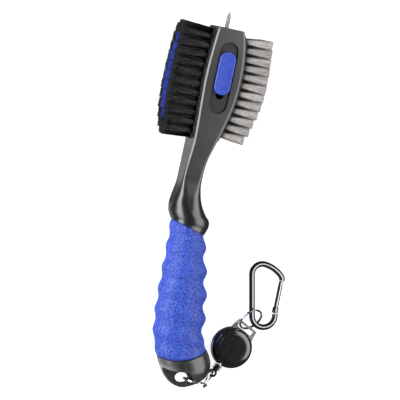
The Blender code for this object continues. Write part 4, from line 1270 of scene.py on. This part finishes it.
def reel_way():
    """The direction from the cord's exit through the reel to the bracket."""
    angle = math.radians(REEL_ANGLE)
    return Vector((math.cos(angle), math.sin(angle), 0.0))


def on_reel(ahead, across=0.0, z=0.0):
    """A place on the reel's own axes, measured from its centre towards the bracket."""
    way = reel_way()
    return Vector((REEL[0] + way.x * ahead + way.y * across,
                   REEL[1] + way.y * ahead - way.x * across, z))


def reel_outline(points):
    """An outline on the reel's own axes, placed in the part's layout."""
    return [on_reel(ahead, across)[:2] for ahead, across in points]


def make_rings(looks):
    """The split ring in the butt, the link ring, and the ring that holds the hook.

    Gives back the direction of the axis of the cord end's eye.
    """
    radius, wire = SPLIT_RING
    turn = math.radians(RING_A_TURN)
    pivot, way = Vector(RING_A_PIVOT), Vector((math.cos(turn), math.sin(turn), 0.0))
    split_ring("butt_key_ring", pivot + way * radius, (-way.y, way.x, 0.0), radius, wire,
               looks["chrome"], "split_ring", "butt_split_ring", 0.6)
    inside = pivot + way * (2 * radius - wire - LINK_WIRE - GAP - 0.1)
    eye = on_reel(-EYE_AT, 0.0, CORD_Z)
    ahead = (eye - inside).normalized()
    level = Vector((0.0, 0.0, 1.0)).cross(ahead).normalized()
    roll = math.radians(LINK_ROLL)
    across = level * math.cos(roll) + ahead.cross(level) * math.sin(roll)
    split_ring("link_key_ring", (inside + eye) / 2, ahead.cross(across),
               (eye - inside).length / 2, LINK_WIRE, looks["chrome"], "link", "link_ring", 1.2)
    across_c = Vector((*RING_C_ACROSS, 0.0)).normalized()
    tilt = math.radians(RING_C_TILT)
    down = Vector((across_c.y * math.cos(tilt), -across_c.x * math.cos(tilt), -math.sin(tilt)))
    split_ring("hook_key_ring", RING_C_CENTRE, across_c.cross(down), radius, wire,
               looks["chrome"], "hook_ring", "bracket_ring", 0.9)
    return across


# ---- cord, fitting and reel ----------------------------------------------------------

def make_fitting(looks, eye_axis):
    """The ribbed end of the cord, with its eye."""
    way = reel_way()
    flat_axis = (eye_axis - way * eye_axis.dot(way)).normalized()
    profile = [(CORD_RADIUS + GAP, 0.0), (2.2, 0.0)]
    for n in range(4):
        low = 0.2 + 1.12 * n
        profile += [(3.35, low), (3.35, low + 0.52), (2.0, low + 0.58), (2.0, low + 1.06)]
    profile += [(1.5, 4.9), (CORD_RADIUS + GAP, 4.9)]
    seat = on_reel(-REEL_RADIUS - 1.3, 0.0, CORD_Z)
    bm = along(turned(rounded(profile, 0.22), 64), -way, seat)
    eye = on_reel(-EYE_AT, 0.0, CORD_Z)
    steps = [("UNION", tube([seat - way * 3.6, seat - way * 5.4], 1.4, 32)),
             ("UNION", tube(circle(eye, flat_axis, EYE_RING[0], 64), EYE_RING[1] + 0.12, 20, True))]
    piece("cord_fitting_body", bm, looks["fitting"], "cord_fitting", "fitting",
          "cord_end_fitting", steps=steps)


def make_cord(looks):
    """The pull cord between the fitting and the reel, two strands laid round each other."""
    way = reel_way()
    low, high = on_reel(-19.8, 0.0, CORD_Z), on_reel(-11.8, 0.0, CORD_Z)
    first, second = plane_of(way)
    rows, sides, pitch = 160, 14, 2.4
    rings = []
    for n in range(rows + 1):
        middle = low + (high - low) * n / rows
        turn = 2 * math.pi * (high - low).length * n / rows / pitch
        ring = []
        for angle in angles(sides):
            r = CORD_RADIUS * (0.86 + 0.14 * abs(math.cos(1.5 * (angle - turn))))
            ring.append(middle + first * r * math.cos(angle) + second * r * math.sin(angle))
        rings.append(ring)
    cord = shaped("reel_cord", skinned(rings), looks["cord"], 50.0)
    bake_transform(cord)
    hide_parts("pull_cord")


def make_reel(looks):
    """The reel's covers, bracket plate and eyelet."""
    centre = (REEL[0], REEL[1], 0.0)
    wall, shell = REEL_RADIUS - 1.6, REEL_RADIUS + 0.5

    def cover(name, profile, soft, node):
        bm = along(turned(rounded(profile, soft, 5), 128), (0, 0, 1), centre)
        piece(name, bm, looks["gloss"], "reel", "reel_case", node)

    cover("reel_back_shell", [
        (1.9, TABLE), (14.0, TABLE), (15.0, TABLE + 0.7), (15.0, -12.7), (wall, -12.7),
        (wall, -14.0), (1.9, -14.0)], 0.3, "reel_back_cover")
    dome = [(14.2, -6.75), (13.6, -6.2), (13.3, -6.0), (12.8, -5.84), (12.2, -5.68),
            (11.5, -5.52), (11.0, -5.44), (10.75, -5.0), (8.0, -4.97), (4.0, -4.95), (0.0, -4.95)]
    cover("reel_front_shell", [
        (0.0, -6.3), (13.1, -6.3), (wall, -6.9), (wall, -11.3), (shell, -11.3), (shell, -8.6),
        (15.3, -7.9)] + dome, 0.3, "reel_front_cover")

    half, far, edge = 8.8, BAR_AT + 1.0, 16.0
    start = math.degrees(math.asin(10.0 / edge))
    ring = arc((0.0, 0.0), edge, start, 360 - start, 96)
    corner = 1.0
    tab = arc((far - corner, -half + corner), corner, -60, 0, 6)
    tab += arc((far - corner, half - corner), corner, 0, 60, 6)
    outline = ring + tab
    low, high = PLATE_Z
    soft = 0.15
    levels = []
    for inset, z in ((soft, low), (0.0, low + soft), (0.0, high - soft), (soft, high)):
        shrink = 1.0 - inset / edge
        levels.append((reel_outline([(a * shrink, -b * shrink) for a, b in outline]), z))
    opening = whole(REEL, wall, 120)
    slot = arc((16.6, 5.7), 0.9, 90, 180, 6) + arc((16.6, -5.7), 0.9, 180, 270, 6)
    slot += arc((18.4, -5.7), 0.9, 270, 360, 6) + arc((18.4, 5.7), 0.9, 0, 90, 6)
    steps = [("DIFFERENCE", slab(outline, low - 0.6, high + 0.6))
             for outline in (opening, reel_outline(slot))]
    piece("bracket_plate", stack(levels), looks["nickel"], "reel", "nickel", "reel_bracket",
          steps=steps)

    profile = [(0.85, 0.0), (1.65, 0.0), (1.65, 1.6), (2.6, 1.6), (2.6, 2.2), (0.85, 2.2)]
    bm = along(turned(rounded(profile, 0.2), 48), -reel_way(), on_reel(-13.8, 0.0, CORD_Z))
    piece("eyelet_collar", bm, looks["nickel"], "reel", "nickel", "exit_eyelet")


# ---- carabiner -----------------------------------------------------------------------

def hook_tilt():
    """The carabiner is drawn flat, and turned about its upper end, which rests on the table."""
    seat = Vector((*HOOK_SEAT, TABLE + HOOK_RADIUS))
    turn = Matrix.Rotation(math.radians(-HOOK_TILT), 4, "X")
    return Matrix.Translation(seat) @ turn @ Matrix.Translation(-Vector((*HOOK_SEAT, 0.0)))


def hook_line():
    """The carabiner's middle line, from the gate's pivot round to the nose."""
    line = arc(HOOK_LOW[:2], HOOK_LOW[2], 17, -165, 48)
    line += arc(HOOK_HIGH[:2], HOOK_HIGH[2], 193, 84.9, 30)
    line += arc(HOOK_BOW[:2], HOOK_BOW[2], 84.9, 47.7, 24)[1:]
    line += arc(HOOK_NOSE[:2], HOOK_NOSE[2], 47.7, -5, 16)[1:]
    return [(x, y, 0.0) for x, y in line]


def box_of(x, y_low, y_high, half_x, half_z):
    """A plain block to carve with, or to join on as a tongue."""
    outline = [(x - half_x, y_low), (x + half_x, y_low), (x + half_x, y_high), (x - half_x, y_high)]
    return slab(outline, -half_z, half_z)


def make_carabiner(looks):
    """The snap hook: bent frame, gate and the two pins."""
    tilt = hook_tilt()
    pivot_x, pivot_y = GATE_PIVOT
    nose_x = HOOK_NOSE[0] + HOOK_NOSE[2]
    steps = [("UNION", box_of(pivot_x, pivot_y - 3.4, pivot_y + 1.2, 1.2, TONGUE_HALF)),
             ("UNION", box_of(nose_x, 89.3, 93.6, 1.2, TONGUE_HALF))]
    for x, y in ((pivot_x, pivot_y), (nose_x, LATCH_Y)):
        hole = whole((x, y), PIN_HOLE_RADIUS, 24)
        steps.append(("DIFFERENCE", slab(hole, -3.0, 3.0)))
    piece("snap_hook_frame", tube(hook_line(), HOOK_RADIUS + 0.12, 28), looks["anodised"],
          "carabiner", "anodised", "carabiner_frame", tilt=tilt, steps=steps)

    low, high = -1.4, 2.4
    top = GATE_TOP - pivot_y
    levels = [(COLLAR_RADIUS - 0.3, low), (COLLAR_RADIUS - 0.08, low + 0.1),
              (COLLAR_RADIUS, low + 0.35), (COLLAR_RADIUS, high - 0.2),
              (COLLAR_RADIUS - 0.12, high), (GATE_RADIUS + 0.1, high + 0.5),
              (GATE_RADIUS, high + 0.9), (GATE_RADIUS, top - 0.3),
              (GATE_RADIUS - 0.1, top - 0.08), (GATE_RADIUS - 0.35, top)]
    half = TONGUE_HALF + GAP
    notch = [(nose_x - 0.9, 89.5), (nose_x + 4, 89.2), (nose_x + 4, 91.6), (nose_x - 0.9, 91.3)]
    hole = whole(GATE_PIVOT, PIN_HOLE_RADIUS, 24)
    bore = rod([(1.0, pivot_y + 1.5), (1.0, 82.0)])
    steps = [("DIFFERENCE", box_of(pivot_x, pivot_y - 2.4, pivot_y + 1.9, 4.0, half)),
             ("DIFFERENCE", box_of(pivot_x, 88.9, 94.0, 4.0, half)),
             ("DIFFERENCE", slab(notch, -4.0, 4.0)),
             ("DIFFERENCE", slab(hole, -4.0, 4.0)),
             ("DIFFERENCE", along(bore, (0, 1, 0), (pivot_x, 0.0, 0.0)))]
    piece("snap_hook_gate", along(rod(levels), (0, 1, 0), (pivot_x, pivot_y, 0.0)),
          looks["gate"], "gate", "gate_metal", "carabiner_gate", tilt=tilt, steps=steps)

    for name, x, y, reach, node in (
            ("gate_rivet", pivot_x, pivot_y, COLLAR_RADIUS, "gate_pin"),
            ("latch_rivet", nose_x, LATCH_Y, 1.6, "latch_pin")):
        pin = along(domed(0.55, -reach, reach, 0.18), (0, 0, 1), (x, y, 0.0))
        piece(name, pin, looks["gate"], "carabiner", "gate_metal", node, 50.0, tilt)


# ---- the pieces that keep their CAD shape --------------------------------------------

def dress_inner_pieces(looks):
    """Materials for the works inside the head, the reel and the gate."""
    for node, finish in (
            ("spike_bush", "steel"), ("click_spring", "steel"), ("spike_carrier", "plate"),
            ("reel_axle", "steel"), ("reel_spring", "steel"), ("reel_spool", "plate"),
            ("cord_winding", "cord"), ("gate_plunger", "steel"), ("gate_spring", "steel")):
        mesh = frame["nodes"][node].data
        mesh.materials.clear()
        mesh.materials.append(looks[finish])


def make_lights():
    """Softboxes left and right that leave out the hook, and one overhead for it and its rivets."""
    pieces = bpy.data.objects
    hook = [pieces["snap_hook_frame"], pieces["snap_hook_gate"]]
    with_rivets = hook + [pieces["gate_rivet"], pieces["latch_rivet"]]
    light_only(softbox("left_softbox", 62, 180, 0.9, (1.3, 0.56), 17.0), hook, "EXCLUDE")
    light_only(softbox("right_softbox", 50, 12, 0.9, (1.1, 0.88), 11.0), hook, "EXCLUDE")
    light_only(softbox("overhead_softbox", 30, 5, 0.9, (0.7, 0.95), 11.0), with_rivets)


def main():
    make_camera()
    make_stage()
    looks = finishes()
    make_handle(looks)
    make_grip(looks)
    make_bristles(looks)
    make_button(looks)
    make_spike(looks)
    eye_axis = make_rings(looks)
    make_fitting(looks, eye_axis)
    make_cord(looks)
    make_reel(looks)
    make_carabiner(looks)
    dress_inner_pieces(looks)
    make_lights()


main()
